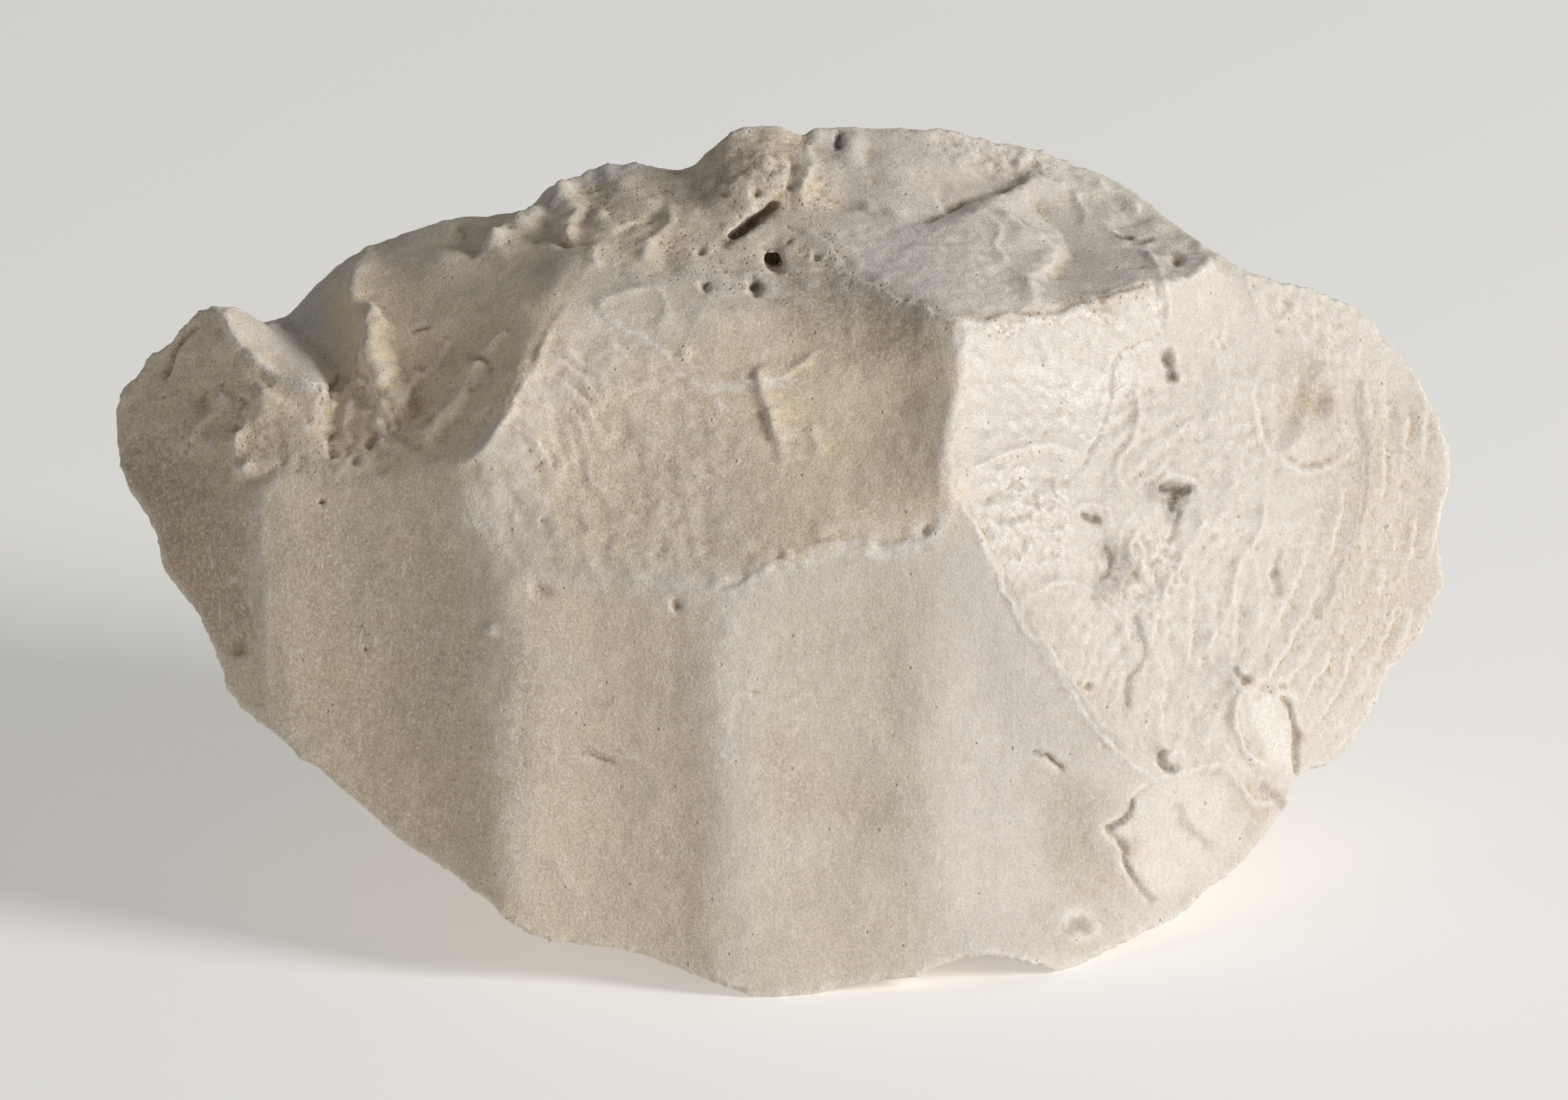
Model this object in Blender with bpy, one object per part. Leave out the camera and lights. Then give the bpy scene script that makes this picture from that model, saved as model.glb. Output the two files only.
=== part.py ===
"""A hand-sized lump of chalk, one solid, broken on every side and resting on a small flat spot.

The stone is drawn as two reliefs over one plane that leans back, a front one and a rear one,
which share the stone's outline. A point is (across, up, out) in millimetres: across to the
right, up along the leaning plane, and out of the plane towards the front.
"""

import math

import bmesh
import bpy
import numpy as np
from mathutils import Matrix, Vector
from mathutils.geometry import delaunay_2d_cdt

MM = 0.001

# Driving dimensions, in millimetres.
LEAN = math.radians(20)  # how far the reference plane leans back from upright
FLOOR_DROP = 39.9  # the flat spot lies this far below the middle of the reference plane
RIM_STEP = 2.5  # spacing of the points along the outline
FRONT_STEP = 2.4  # spacing of the points over the front
REAR_STEP = 3.7  # spacing of the points over the rear
LONGEST_EDGE = 5.6  # an edge longer than this, on a steep part, is halved
FRONT_ROUNDING = 1.2  # how far an edge of the front is softened
FRONT_HOLLOW = 0.017  # how hollow the flaked faces of the front are, per millimetre
REAR_ROUNDING = 1.5
REAR_BLEND = 5.0  # the rear facets meet the outline over this distance
FRONT_LUMP = 0.22  # height of the small lumps of the front
REAR_LUMP = 0.8
LUMP_SIZES = (34, 15)  # how far apart the lumps are
STEEP = 0.72  # a part that faces less than this along the out axis is steep
RELAX_PASSES = 3  # how often the points slide along the surface to even the triangles out
CHALK_COLOUR = (0.55, 0.48, 0.39, 1.0)
CHALK_ROUGHNESS = 0.9

# The outline, clockwise from the left tip.
OUTLINE = (
    # the left knob, and the notch behind it
    (-80.2, 18.9, 1.5), (-78.7, 21.8, 1.5), (-77.1, 22.8, 2), (-76.2, 25, 2), (-73.7, 26.3, 3.5),
    (-71.5, 29.2, 4), (-69.6, 30.9, 4.5), (-67.1, 31.1, 6), (-64.3, 30, 4), (-62, 29.2, 1),
    (-60.5, 28.6, -5),
    # the upper left shoulder
    (-59, 30.5, -9), (-56.8, 33.3, -12), (-54.6, 35.2, -13), (-51.5, 37.6, -14), (-45, 40, -13.5),
    (-41.2, 41.6, -14.5), (-39, 42, -14.5), (-32.1, 42, -15), (-29.9, 43.4, -14.5), (-27.5, 45.3, -14),
    (-22.4, 46.8, -13), (-20, 47.6, -12.5), (-18.4, 48.6, -12), (-16.9, 48.3, -11.5),
    (-13.7, 47.1, -10), (-10.9, 47.5, -8),
    # the two small knobs of the top
    (-9.9, 48.9, -7), (-7.4, 51.1, -6.5), (-5.6, 52.4, -6.5), (-2.1, 52.7, -6.5), (0.3, 52.6, -6.5),
    (2, 51.2, -8), (4.1, 52.4, -9), (7.1, 52.8, -9), (9.7, 52.3, -9), (11.9, 51.9, -9),
    # the upper right crest
    (15.5, 52.4, -9), (19.5, 52.6, -10), (21.7, 51.9, -10.5), (24.2, 51.2, -11), (26.4, 50, -11.5),
    (29, 50.3, -12.5), (31.2, 49.8, -13), (33, 48.5, -13.5), (35.2, 47.8, -14.5), (38.9, 47, -15),
    (42.5, 44.7, -13.5), (47.4, 40.2, -9.5), (52.1, 36.8, -3), (54.8, 35.2, -3.5), (57.3, 34.4, -4.5),
    (62.2, 33.5, -7.5), (64.6, 32.7, -9), (67.1, 31.5, -10.5), (69.5, 29.9, -12),
    # the right end
    (71.5, 27, -13), (74.4, 24.5, -14), (75.7, 23.7, -14), (77, 20.4, -14), (79, 17.2, -14),
    (79.9, 13.5, -14), (79.9, 11.5, -14), (79.3, 7.4, -14), (78.3, 3.7, -13.5), (78.9, 0.3, -14),
    (78.8, -2.5, -14), (77.7, -5.7, -13), (75.6, -9, -12), (72.3, -12.3, -10), (71.3, -15.5, -9),
    (69.7, -18.8, -8), (67.1, -22.1, -6), (64.6, -24.3, -4), (60.9, -24.9, -1),
    # the lower right corner
    (60.5, -26.2, 0), (60, -28.6, 0.5), (57.9, -31.9, 2), (54.8, -35.2, 3.5), (52.4, -37.4, 4.5),
    (49.9, -38.9, 6), (47.9, -41.7, 7), (45, -43.1, 9), (41.9, -44.2, 11), (38.3, -46.3, 13),
    # the bottom edge
    (33.1, -48.6, 16.5), (30.6, -47.9, 18.5), (26.9, -47, 20), (23.7, -46.3, 21.5),
    (20.4, -46.9, 22), (18, -47.8, 22.3), (16.4, -48.9, 22.5), (13.1, -49.2, 23), (6.5, -50.2, 23.3),
    (-0.8, -51.7, 24.6), (-4.1, -51.4, 24.8), (-6.7, -50.4, 25), (-10.5, -49, 24.3),
    (-14.3, -47.1, 23.5), (-19.9, -45.7, 23), (-28.6, -45, 23), (-31.1, -44, 23.2),
    # the long lower left edge
    (-33.5, -42.1, 23.5), (-38.4, -37.9, 21.5), (-40.9, -35.8, 20.7), (-45.8, -32.9, 19.6),
    (-50.7, -28.3, 19.2), (-55.6, -24.4, 19), (-58.1, -23.1, 18.5), (-60.5, -20.2, 18),
    (-63, -18.8, 16.5), (-66.6, -15.5, 13.5), (-67.2, -12.3, 13), (-70.1, -5.7, 11), (-73, -2.5, 9.3),
    (-74.7, 0.8, 8), (-75.3, 4.1, 7.5), (-77.1, 7.4, 6), (-79.4, 10.6, 4), (-79.8, 13.9, 2.5),
)

# Ridges, valleys and edges of the front. The surface is stretched between them.
FRONT_LINES = {
    # the left knob
    "knob_ridge": (
        (-67.1, 30.4, 6.8), (-66.5, 28.9, 8), (-64.7, 26.4, 9.6), (-61.8, 23.6, 11.2),
        (-59.9, 22.7, 12), (-54.6, 21.3, 14.4),
    ),
    "knob_ledge_back": ((-61.2, 28, 0.5), (-58.2, 25.8, 4.5), (-56.1, 23.8, 9)),
    "knob_corner_edge": (
        (-54.6, 21.3, 14.4), (-55, 20, 14.4), (-56.2, 18.4, 14.2), (-56.2, 15.6, 15.6),
        (-56.2, 11.8, 18.8),
    ),
    "knob_face_ridge": ((-64.7, 25, 9.8), (-66.6, 20.5, 9.7), (-69.9, 14.5, 9.6)),
    "knob_groove": ((-70.2, 28.6, 4.4), (-72.2, 25.4, 3.8), (-74.3, 22.7, 3)),
    # the valley between the knob and the shoulder
    "valley": (
        (-60, 28.2, -4.5), (-57.6, 27.4, -1), (-55, 24.8, 3.6), (-53, 21.8, 8.6),
        (-53.6, 19, 12.2), (-53.8, 16, 14.4), (-53, 13.6, 16.4), (-49.2, 13.6, 17.6),
    ),
    "shoulder_nose": ((-49.9, 38, -11.5), (-51.2, 35.4, -3.5), (-51.8, 32.4, 2), (-50.8, 29.4, 6.6)),
    "shoulder_ridge": ((-50.8, 29.4, 6.6), (-49.8, 26, 10.8), (-48.8, 23.2, 13.6), (-47.2, 20.4, 15.8)),
    "nose_foot": ((-44.4, 39.4, -11), (-44.8, 36, -2.8), (-45.4, 32, 4.2)),
    "shoulder_step": ((-41, 36.4, -0.6), (-38.4, 36, 0.8), (-34, 35.4, 3.6), (-29.5, 34.8, 7)),
    # the dark bowl right of the valley
    "bowl_top": (
        (-50.8, 29.4, 6.6), (-45.6, 29, 8.8), (-42, 29, 10.6), (-36.8, 29.8, 13.2), (-31.1, 30.6, 16.6),
    ),
    "bowl_floor": ((-46.4, 25.4, 10.4), (-45, 22, 12.6), (-43.4, 18.6, 15)),
    "bowl_deep": ((-45, 22, 12.6), (-40.6, 23.8, 13.6), (-36.6, 26.6, 14.8)),
    "bowl_streak": ((-39.2, 19.8, 18.8), (-42.2, 15.2, 19.6)),
    "bowl_edge": (
        (-24.9, 36.8, 9), (-26.5, 33.9, 14), (-27.5, 31.2, 18), (-28, 28.7, 20.5),
        (-31.2, 23.4, 24), (-33.1, 17.8, 26.2), (-34.7, 14.6, 26.8), (-37.1, 12.8, 26.4),
        (-39.7, 11.9, 25.4),
    ),
    # the upper ends of the flakes along the front
    "first_flake_top": ((-62.6, 9.2, 19), (-56.2, 11.8, 18.8), (-48.3, 10.4, 21.8), (-39.7, 11.9, 25.4)),
    "middle_edge": (
        (-35.8, 3.4, 27.3), (-32.6, 1.8, 28), (-22, -0.2, 29.2), (-12.1, -2, 30.4),
        (-9.2, -2.6, 30.9), (-6.3, -2.4, 31.1), (-3.4, -0.3, 31), (-0.8, 1, 30.9), (5, 3.4, 30.6),
        (7.1, 2.6, 30.6), (12.1, 2.6, 30.4), (15.5, 3, 30.2), (17.5, 3.8, 30), (19.6, 6.8, 30),
        (18.8, 9.3, 30),
    ),
    # the ridges between the flakes, left to right
    "first_ridge": ((-62.6, 9.2, 19), (-62.3, -5.7, 19.2), (-61.9, -16.6, 17.8)),
    "second_ridge": (
        (-39.7, 11.9, 25.4), (-38.4, 8.4, 26.3), (-35.8, 3.4, 27.3), (-32.9, -0.3, 28),
        (-33.2, -4, 28), (-31.7, -9.5, 27.9), (-32.9, -22.3, 26.6), (-33.2, -39, 24.3),
    ),
    "third_ridge": (
        (-6.3, -2.4, 31.1), (-7.6, -12.6, 30.2), (-7.2, -20.9, 29.6), (-6.8, -27.2, 28.7),
        (-6, -33.5, 27.7), (-7.6, -39.8, 26.5), (-8, -47.4, 25.2),
    ),
    "fourth_ridge": (
        (17.2, 3, 30.1), (17.4, -12.6, 28.9), (17, -25.1, 27), (17.8, -35.6, 25), (17.2, -45, 23.2),
    ),
    # the long scar, and the cracked corner below it
    "scar": (
        (18.8, 9.3, 30), (21.9, 6, 29.4), (24.9, -0.8, 28.5), (28.3, -6.8, 27), (31.3, -11.1, 25.4),
        (34.8, -16.3, 23), (38.2, -20.5, 20.6), (42.9, -24.8, 17.2), (45, -24.8, 15.6),
    ),
    "corner_crack": (
        (45, -24.8, 15.6), (41.9, -27.3, 17.3), (38.3, -31, 18.6), (40.5, -35.3, 15.8),
        (44.1, -39, 11.2),
    ),
    "corner_top": ((45, -24.8, 15.6), (50, -24.2, 11), (53, -24.4, 8.6), (55.8, -28, 5), (58.6, -27.8, 2)),
    "sliver": ((54.4, -15, 9), (56.9, -18.8, 6), (59.2, -23.2, 2.2)),
    "sliver_groove": ((60.6, -18.8, 1.5), (60.9, -21.5, -0.5), (60.7, -24, -0.6)),
    # the right face
    "corner_edge": (
        (20.2, 29.4, 22), (20.8, 27.5, 22.6), (21, 24, 23.8), (20.8, 21.7, 24.6), (19.9, 18.4, 26.2),
        (19.1, 14.7, 28), (18.8, 9.3, 30),
    ),
    "face_upper": ((26.5, 24, 18.3), (34.5, 22, 13.2), (45, 21, 6.5), (56, 21, 0.5), (66, 20.5, -6)),
    "face_middle": ((28, 9.5, 23), (36, 7.5, 17.6), (45, 5.7, 11.8), (56, 4.5, 4.4), (68, 4, -5)),
    "face_lower": ((40, -8, 17), (50, -9.5, 9.2), (60, -11, 1.8), (68, -12, -5.6)),
    # the front edge of the level top
    "top_edge": (
        (1.6, 41, 3), (4.9, 38.9, 6.8), (7.4, 35.9, 10.8), (8.2, 34.4, 12.8), (11.5, 33.7, 15),
        (14, 31.9, 17.8), (16.9, 30.8, 20.2), (20.2, 29.4, 22), (24.4, 29.6, 19.6), (28.1, 30.1, 17.4),
        (32.9, 30.6, 14.5), (37.7, 31.3, 11.5), (40.1, 32.8, 10), (42.2, 33.7, 8.6), (45.8, 33.7, 6.4),
        (47.5, 34, 4.8), (50.4, 35.7, 1), (52.1, 36.8, -3),
    ),
    "top_valley": (
        (3.8, 43.8, -1.8), (14, 42.1, 0), (16.9, 41.6, -0.6), (19.9, 42.7, -2.6),
        (22.4, 43.9, -5), (27.9, 46.6, -9.5),
    ),
    "top_ridge": (
        (12, 40.8, 1.6), (17.6, 40.4, 2.6), (22.1, 41.8, 0.8), (25.5, 43.8, -3.4), (28.8, 45.4, -7.2),
        (33.6, 45.2, -11), (35.2, 43.6, -10.2), (37.5, 41.1, -7.4), (39.8, 39, -4.2), (41.7, 38, -2.2),
        (44.2, 35.4, 3.6), (45.8, 33.7, 6.4),
    ),
    "top_bend": (
        (25.5, 43.8, -3.4), (26.9, 40.9, -0.6), (30.3, 39, 1), (31.7, 37.4, 2.8), (29.2, 34.8, 8.4),
        (30.8, 30.4, 15.8),
    ),
    "top_bend_foot": ((29.6, 42.4, -7.6), (32.8, 39.8, -4.6), (34, 37, -0.8), (32.2, 34, 6)),
    "upper_face": ((5, 48, -4.6), (13, 47.5, -4.4), (21, 47.8, -7)),
    # the knobs, the crest and the shoulder left of the level top
    "knob_front": ((-7.6, 45.5, 0), (-4.3, 46.5, 0.6), (-0.6, 46.2, 0.4), (2.2, 45.2, -0.8)),
    "saddle": ((-11.3, 45.6, -5), (-9.5, 42.5, 0.5), (-4.5, 42.6, 1.4), (0.4, 42.9, 0.6)),
    "facet_top": ((-22.9, 39.3, 4), (-18, 37.6, 7), (-12.3, 36.6, 9), (-7.6, 37.4, 8), (-1.3, 38.6, 6)),
    "wavy_edge": ((-23, 31.2, 17.3), (-19, 32.5, 15.6), (-15.9, 33, 14.8), (-14, 31.5, 16.2)),
    "facet_middle": ((-22, 22, 22.8), (-12, 20, 22.6), (0, 19, 22.4), (9, 19.4, 22.2), (14, 19.6, 23)),
    "facet_upper": ((-10, 30, 17.4), (0, 30, 15.8), (9, 29, 17.8)),
    "shoulder_edge": (
        (-36.6, 37.5, -0.8), (-34.6, 39.1, -2.4), (-32.2, 41.1, -5.4), (-29.2, 43.2, -8.4),
        (-26.4, 45, -10.4), (-24.4, 46, -11.8),
    ),
    "shoulder_edge_foot": ((-38.4, 38.2, -4.2), (-36.4, 40.2, -8.4)),
    "shoulder_fold": ((-26.2, 43.6, -7.5), (-24.9, 41.8, -3.5), (-26.5, 39.3, 1.5)),
    "crest_lump": ((-19.5, 45.4, -6.6), (-17.6, 42, -0.4), (-14.4, 43.6, -3)),
}

# The facets of the rear: a point on each plane, then its slopes outwards per millimetre across and up.
REAR_FACETS = (
    ((0, 48, -19), -0.05, 1.35),
    ((-46, 32, -27), -0.5, 1.25),
    ((50, 30, -28), 0.7, 1.2),
    ((-20, 12, -41), -0.34, 0.03),
    ((30, 12, -41), 0.4, 0.05),
    ((-60, 16, -25), -1.3, 0.05),
    ((66, 10, -31), 1.2, 0.2),
    ((8, -14, -46), 0.03, -0.78),
    ((-44, -8, -24), -0.72, -1.2),
    ((-20, -34, -20), -0.5, -2.1),
    ((50, -16, -27), 0.7, -1.15),
)

# Scoops left in the rear by flakes that came off: centre across and up, radii, turn, depth.
REAR_SCOOPS = (
    (-27, 19, 15, 20, 25, 4.6),
    (27, 5, 13, 19, -15, 4.2),
    (3, 37, 17, 9, 0, 3.4),
    (-51, 5, 10, 15, 10, 3.2),
    (49, 21, 12, 10, 20, 3.2),
    (-9, -13, 14, 10, 10, 3),
    (37, -15, 11, 9, 0, 2.6),
    (64, 2, 8, 13, -10, 2.4),
)

# Borings: where each starts and ends, its half width, and its half height out of the plane.
BORINGS = {
    "slot": ((-1.4, 42.8, 0.6), (-6.7, 38.7, 3.4), 0.75, 3.6),
    "upper_hole": ((-1.2, 36, 16), (-1.7, 36.7, 4.5), 0.85, 0.85),
    "lower_hole": ((-3.4, 33, 20), (-4, 33.7, 10), 0.65, 0.65),
    "side_hole": ((-9.6, 33.3, 20), (-9, 34, 11), 0.55, 0.55),
    "face_hole": ((44.7, 9.2, 10.9), (47.9, 9.5, 8.6), 0.6, 1.6),
    "face_hole_tail": ((46.4, 8.8, 9.9), (45.5, 5.2, 11.9), 0.55, 1.2),
}


def resampled(points, step):
    """The points of an open polyline, spaced evenly along each of its stretches."""
    points = np.array(points, float)
    out = [points[0]]
    for start, end in zip(points[:-1], points[1:]):
        parts = max(1, round(math.dist(start[:2], end[:2]) / step))
        out += [start + (end - start) * (i + 1) / parts for i in range(parts)]
    return np.array(out)


def evenly(points, step):
    """Points at even spacing along a polyline whose corners are closer together than that."""
    points = np.array(points, float)
    lengths = np.linalg.norm(np.diff(points[:, :2], axis=0), axis=1)
    along = np.concatenate([[0], np.cumsum(lengths)])
    count = max(2, round(along[-1] / step) + 1)
    places = np.linspace(0, along[-1], count)
    return np.column_stack([np.interp(places, along, points[:, axis]) for axis in range(3)])


def inside(points, outline):
    """Which points lie inside the closed outline."""
    found = np.zeros(len(points), bool)
    for start, end in zip(outline, np.roll(outline, -1, axis=0)):
        spans = (start[1] > points[:, 1]) != (end[1] > points[:, 1])
        rise = end[1] - start[1] if end[1] != start[1] else 1.0
        crossing = start[0] + (end[0] - start[0]) * (points[:, 1] - start[1]) / rise
        found ^= spans & (points[:, 0] < crossing)
    return found


def nearest(points, others):
    """Each point's distance to the nearest of the others."""
    return np.array([np.sqrt(((others - point) ** 2).sum(axis=1).min()) for point in points])


def lattice(outline, kept, step, seed):
    """Points of a jittered triangular lattice inside the outline, clear of the kept points."""
    rng = np.random.default_rng(seed)
    low = outline.min(axis=0)
    high = outline.max(axis=0)
    rows = []
    for row in range(int((high[1] - low[1]) / (step * 0.866)) + 1):
        across = np.arange(low[0] + (row % 2) * step / 2, high[0], step)
        rows.append(np.column_stack([across, np.full(len(across), low[1] + row * step * 0.866)]))
    points = np.concatenate(rows)
    points += rng.uniform(-0.17, 0.17, points.shape) * step
    points = points[inside(points, outline)]
    return points[nearest(points, kept) > 0.62 * step]


def triangulated(rim, lines, step, seed):
    """One side as points, triangles, held heights, the rim's points in order and the lines' edges."""
    points = [tuple(point[:2]) for point in rim]
    heights = {i: point[2] for i, point in enumerate(rim)}
    edges = [(i, (i + 1) % len(rim)) for i in range(len(rim))]
    for line in lines:
        previous = None
        for point in line:
            gaps = [math.dist(point[:2], other) for other in points]
            near = int(np.argmin(gaps))
            if gaps[near] > 0.35 * step:
                near = len(points)
                points.append(tuple(point[:2]))
                heights[near] = point[2]
            if previous is not None and previous != near:
                edges.append((previous, near))
            previous = near
    outline = rim[:, :2]
    points += [tuple(point) for point in lattice(outline, np.array(points), step, seed)]
    made = delaunay_2d_cdt([Vector(point) for point in points], edges, [], 1, 1e-4)
    where, made_edges, faces, came_from, edges_from = made[:5]
    held = {}
    for i, sources in enumerate(came_from):
        known = [heights[source] for source in sources if source in heights]
        if known:
            held[i] = known[0]
    rim_order = {source: i for i, sources in enumerate(came_from) for source in sources if source < len(rim)}
    flat = np.array([tuple(point) for point in where])
    crisp = [edge for edge, sources in zip(made_edges, edges_from) if sources]
    return flat, np.array(faces), held, [rim_order[i] for i in range(len(rim))], crisp


def stiffness(flat, faces):
    """The cotangent stiffness matrix and the area round each point."""
    count = len(flat)
    matrix = np.zeros((count, count))
    area = np.zeros(count)
    for corner in range(3):
        at = flat[faces[:, corner]]
        first = faces[:, (corner + 1) % 3]
        second = faces[:, (corner + 2) % 3]
        one = flat[first] - at
        two = flat[second] - at
        cross = np.abs(one[:, 0] * two[:, 1] - one[:, 1] * two[:, 0])
        weight = 0.5 * (one * two).sum(axis=1) / np.maximum(cross, 1e-6)
        np.add.at(matrix, (first, second), -weight)
        np.add.at(matrix, (second, first), -weight)
        np.add.at(matrix, (first, first), weight)
        np.add.at(matrix, (second, second), weight)
        np.add.at(area, faces[:, corner], cross / 6)
    return matrix, np.maximum(area, 1e-3)


def stretched(flat, faces, held, rounding, hollow=0.0, pull=None, pull_to=None):
    """Heights of a skin stretched over the held points, its creases softened over the rounding.

    It sags between them by the curvature in hollow, and where pull is above 0 it is also drawn
    towards pull_to.
    """
    matrix, area = stiffness(flat, faces)
    energy = matrix.copy()
    for point, row in enumerate(matrix):
        near = np.nonzero(row)[0]
        energy[np.ix_(near, near)] += rounding**2 / area[point] * np.outer(row[near], row[near])
    known = np.array(sorted(held))
    values = np.array([held[i] for i in known])
    free = np.setdiff1d(np.arange(len(flat)), known)
    target = -energy[np.ix_(free, known)] @ values - hollow * area[free]
    system = energy[np.ix_(free, free)]
    if pull is not None:
        system = system + np.diag(pull[free] * area[free])
        target = target + pull[free] * area[free] * pull_to[free]
    heights = np.zeros(len(flat))
    heights[known] = values
    heights[free] = np.linalg.solve(system, target)
    return heights


def rear_target(flat):
    """The rear's facets and scoops, as heights out of the plane."""
    planes = [
        at[2] + slope_across * (flat[:, 0] - at[0]) + slope_up * (flat[:, 1] - at[1])
        for at, slope_across, slope_up in REAR_FACETS
    ]
    heights = np.max(planes, axis=0)
    for across, up, half_width, half_height, turn, depth in REAR_SCOOPS:
        cos = math.cos(math.radians(turn))
        sin = math.sin(math.radians(turn))
        x = flat[:, 0] - across
        y = flat[:, 1] - up
        distance = ((x * cos + y * sin) / half_width) ** 2 + ((y * cos - x * sin) / half_height) ** 2
        heights += depth * np.clip(1 - distance, 0, None)
    return heights


def front_side(rim):
    """The front, stretched between its lines."""
    lines = [resampled(points, FRONT_STEP) for points in FRONT_LINES.values()]
    flat, faces, held, order, crisp = triangulated(rim, lines, FRONT_STEP, seed=11)
    heights = stretched(flat, faces, held, FRONT_ROUNDING, hollow=FRONT_HOLLOW)
    return flat, faces, heights, order, crisp


def rear_side(rim):
    """The rear, drawn towards its facets away from the rim."""
    flat, faces, held, order, crisp = triangulated(rim, [], REAR_STEP, seed=23)
    from_rim = nearest(flat, rim[:, :2])
    pull = np.clip(from_rim / REAR_BLEND, 0, 1) ** 3
    heights = stretched(flat, faces, held, REAR_ROUNDING, pull=pull, pull_to=rear_target(flat))
    return flat, faces, heights, order, crisp


def placed(flat, heights):
    """World points in millimetres: the plane leans back, and its middle is at the origin."""
    sin = math.sin(LEAN)
    cos = math.cos(LEAN)
    return np.column_stack(
        [flat[:, 0], sin * flat[:, 1] - cos * heights, cos * flat[:, 1] + sin * heights]
    )


def stone_mesh():
    """Both sides, joined along the rim. The front's lines are marked sharp, and the rim is a seam too."""
    rim = evenly(OUTLINE + OUTLINE[:1], RIM_STEP)[:-1]
    mesh = bmesh.new()
    rim_vertices = [mesh.verts.new(point) for point in placed(rim[:, :2], rim[:, 2])]
    for side, flip in ((front_side, False), (rear_side, True)):
        flat, faces, heights, order, crisp = side(rim)
        at_rim = {index: rim_vertices[i] for i, index in enumerate(order)}
        used = set(faces.reshape(-1).tolist())
        world = placed(flat, heights)
        vertices = {
            index: at_rim[index] if index in at_rim else mesh.verts.new(world[index]) for index in used
        }
        for face in faces.tolist():
            corners = [vertices[index] for index in face]
            mesh.faces.new(corners[::-1] if flip else corners)
        for start, end in crisp:
            mesh.edges.get((vertices[start], vertices[end])).smooth = False
    for start, end in zip(rim_vertices, rim_vertices[1:] + rim_vertices[:1]):
        mesh.edges.get((start, end)).seam = True
    bmesh.ops.recalc_face_normals(mesh, faces=mesh.faces)
    return mesh


def is_crisp(vertex):
    """Whether the point lies on the rim or on one of the front's lines."""
    return any(not edge.smooth for edge in vertex.link_edges)


def relax(mesh):
    """Halves the long edges of steep parts, turns edges to follow the surface and evens the points out."""
    out = Vector((0, -math.cos(LEAN), math.sin(LEAN)))
    for _ in range(RELAX_PASSES):
        long_edges = [edge for edge in mesh.edges if edge.calc_length() > LONGEST_EDGE]
        bmesh.ops.subdivide_edges(mesh, edges=long_edges, cuts=1)
        bmesh.ops.triangulate(mesh, faces=[face for face in mesh.faces if len(face.verts) > 3])
        free_edges = [edge for edge in mesh.edges if edge.smooth]
        bmesh.ops.beautify_fill(mesh, faces=mesh.faces, edges=free_edges, method="ANGLE")
        mesh.normal_update()
        free = [vertex for vertex in mesh.verts if not is_crisp(vertex)]
        steep = [vertex for vertex in free if abs(vertex.normal.dot(out)) < STEEP]
        for vertices, factor in ((steep, 0.5), (free, 0.25)):
            bmesh.ops.smooth_vert(
                mesh, verts=vertices, factor=factor, use_axis_x=True, use_axis_y=True, use_axis_z=True
            )


def lumps(points, seed):
    """Smooth random lumps between about -1 and 1, as waves in random directions."""
    rng = np.random.default_rng(seed)
    total = np.zeros(len(points))
    for size in LUMP_SIZES:
        for _ in range(9):
            direction = rng.normal(size=3)
            wave = 2 * math.pi / (size * rng.uniform(0.75, 1.35))
            along = points @ (direction / np.linalg.norm(direction))
            total += np.sin(along * wave + rng.uniform(0, 2 * math.pi))
    return total / (2.2 * math.sqrt(9 * len(LUMP_SIZES)))


def raise_lumps(mesh):
    """Low lumps on the front and higher ones on the rear. The rim stays as it is."""
    mesh.normal_update()
    out = Vector((0, -math.cos(LEAN), math.sin(LEAN)))
    heights = lumps(np.array([vertex.co for vertex in mesh.verts]), seed=5)
    shifts = []
    for vertex, height in zip(mesh.verts, heights):
        facing = vertex.normal.dot(out)
        share = min(1, max(0, 0.5 - facing))
        at_rim = any(edge.seam for edge in vertex.link_edges)
        size = 0 if at_rim else FRONT_LUMP + share * (REAR_LUMP - FRONT_LUMP)
        shifts.append(vertex.normal * size * float(height))
    for vertex, shift in zip(mesh.verts, shifts):
        vertex.co += shift
    for edge in mesh.edges:
        edge.smooth = True
        edge.seam = False


def cut_flat_spot(mesh):
    """Cuts off what lies below the floor, and closes the cut with one flat face."""
    cut = bmesh.ops.bisect_plane(
        mesh,
        geom=[*mesh.verts, *mesh.edges, *mesh.faces],
        dist=0.02,
        plane_co=(0, 0, -FLOOR_DROP),
        plane_no=(0, 0, -1),
        clear_outer=True,
    )
    edges = [item for item in cut["geom_cut"] if isinstance(item, bmesh.types.BMEdge)]
    bmesh.ops.contextual_create(mesh, geom=edges)


def stand_on_floor(mesh):
    """Moves the stone so that the middle of the underside of its box is the origin, in metres."""
    points = np.array([vertex.co for vertex in mesh.verts])
    low = points.min(axis=0)
    high = points.max(axis=0)
    middle = Vector(((low[0] + high[0]) / 2, (low[1] + high[1]) / 2, low[2]))
    bmesh.ops.translate(mesh, verts=mesh.verts, vec=-middle)
    bmesh.ops.scale(mesh, verts=mesh.verts, vec=(MM, MM, MM))
    return middle


def chalk():
    material = bpy.data.materials.new("chalk")
    material.use_nodes = True
    shader = material.node_tree.nodes["Principled BSDF"]
    shader.inputs["Base Color"].default_value = CHALK_COLOUR
    shader.inputs["Roughness"].default_value = CHALK_ROUGHNESS
    shader.inputs["Metallic"].default_value = 0.0
    return material


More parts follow.
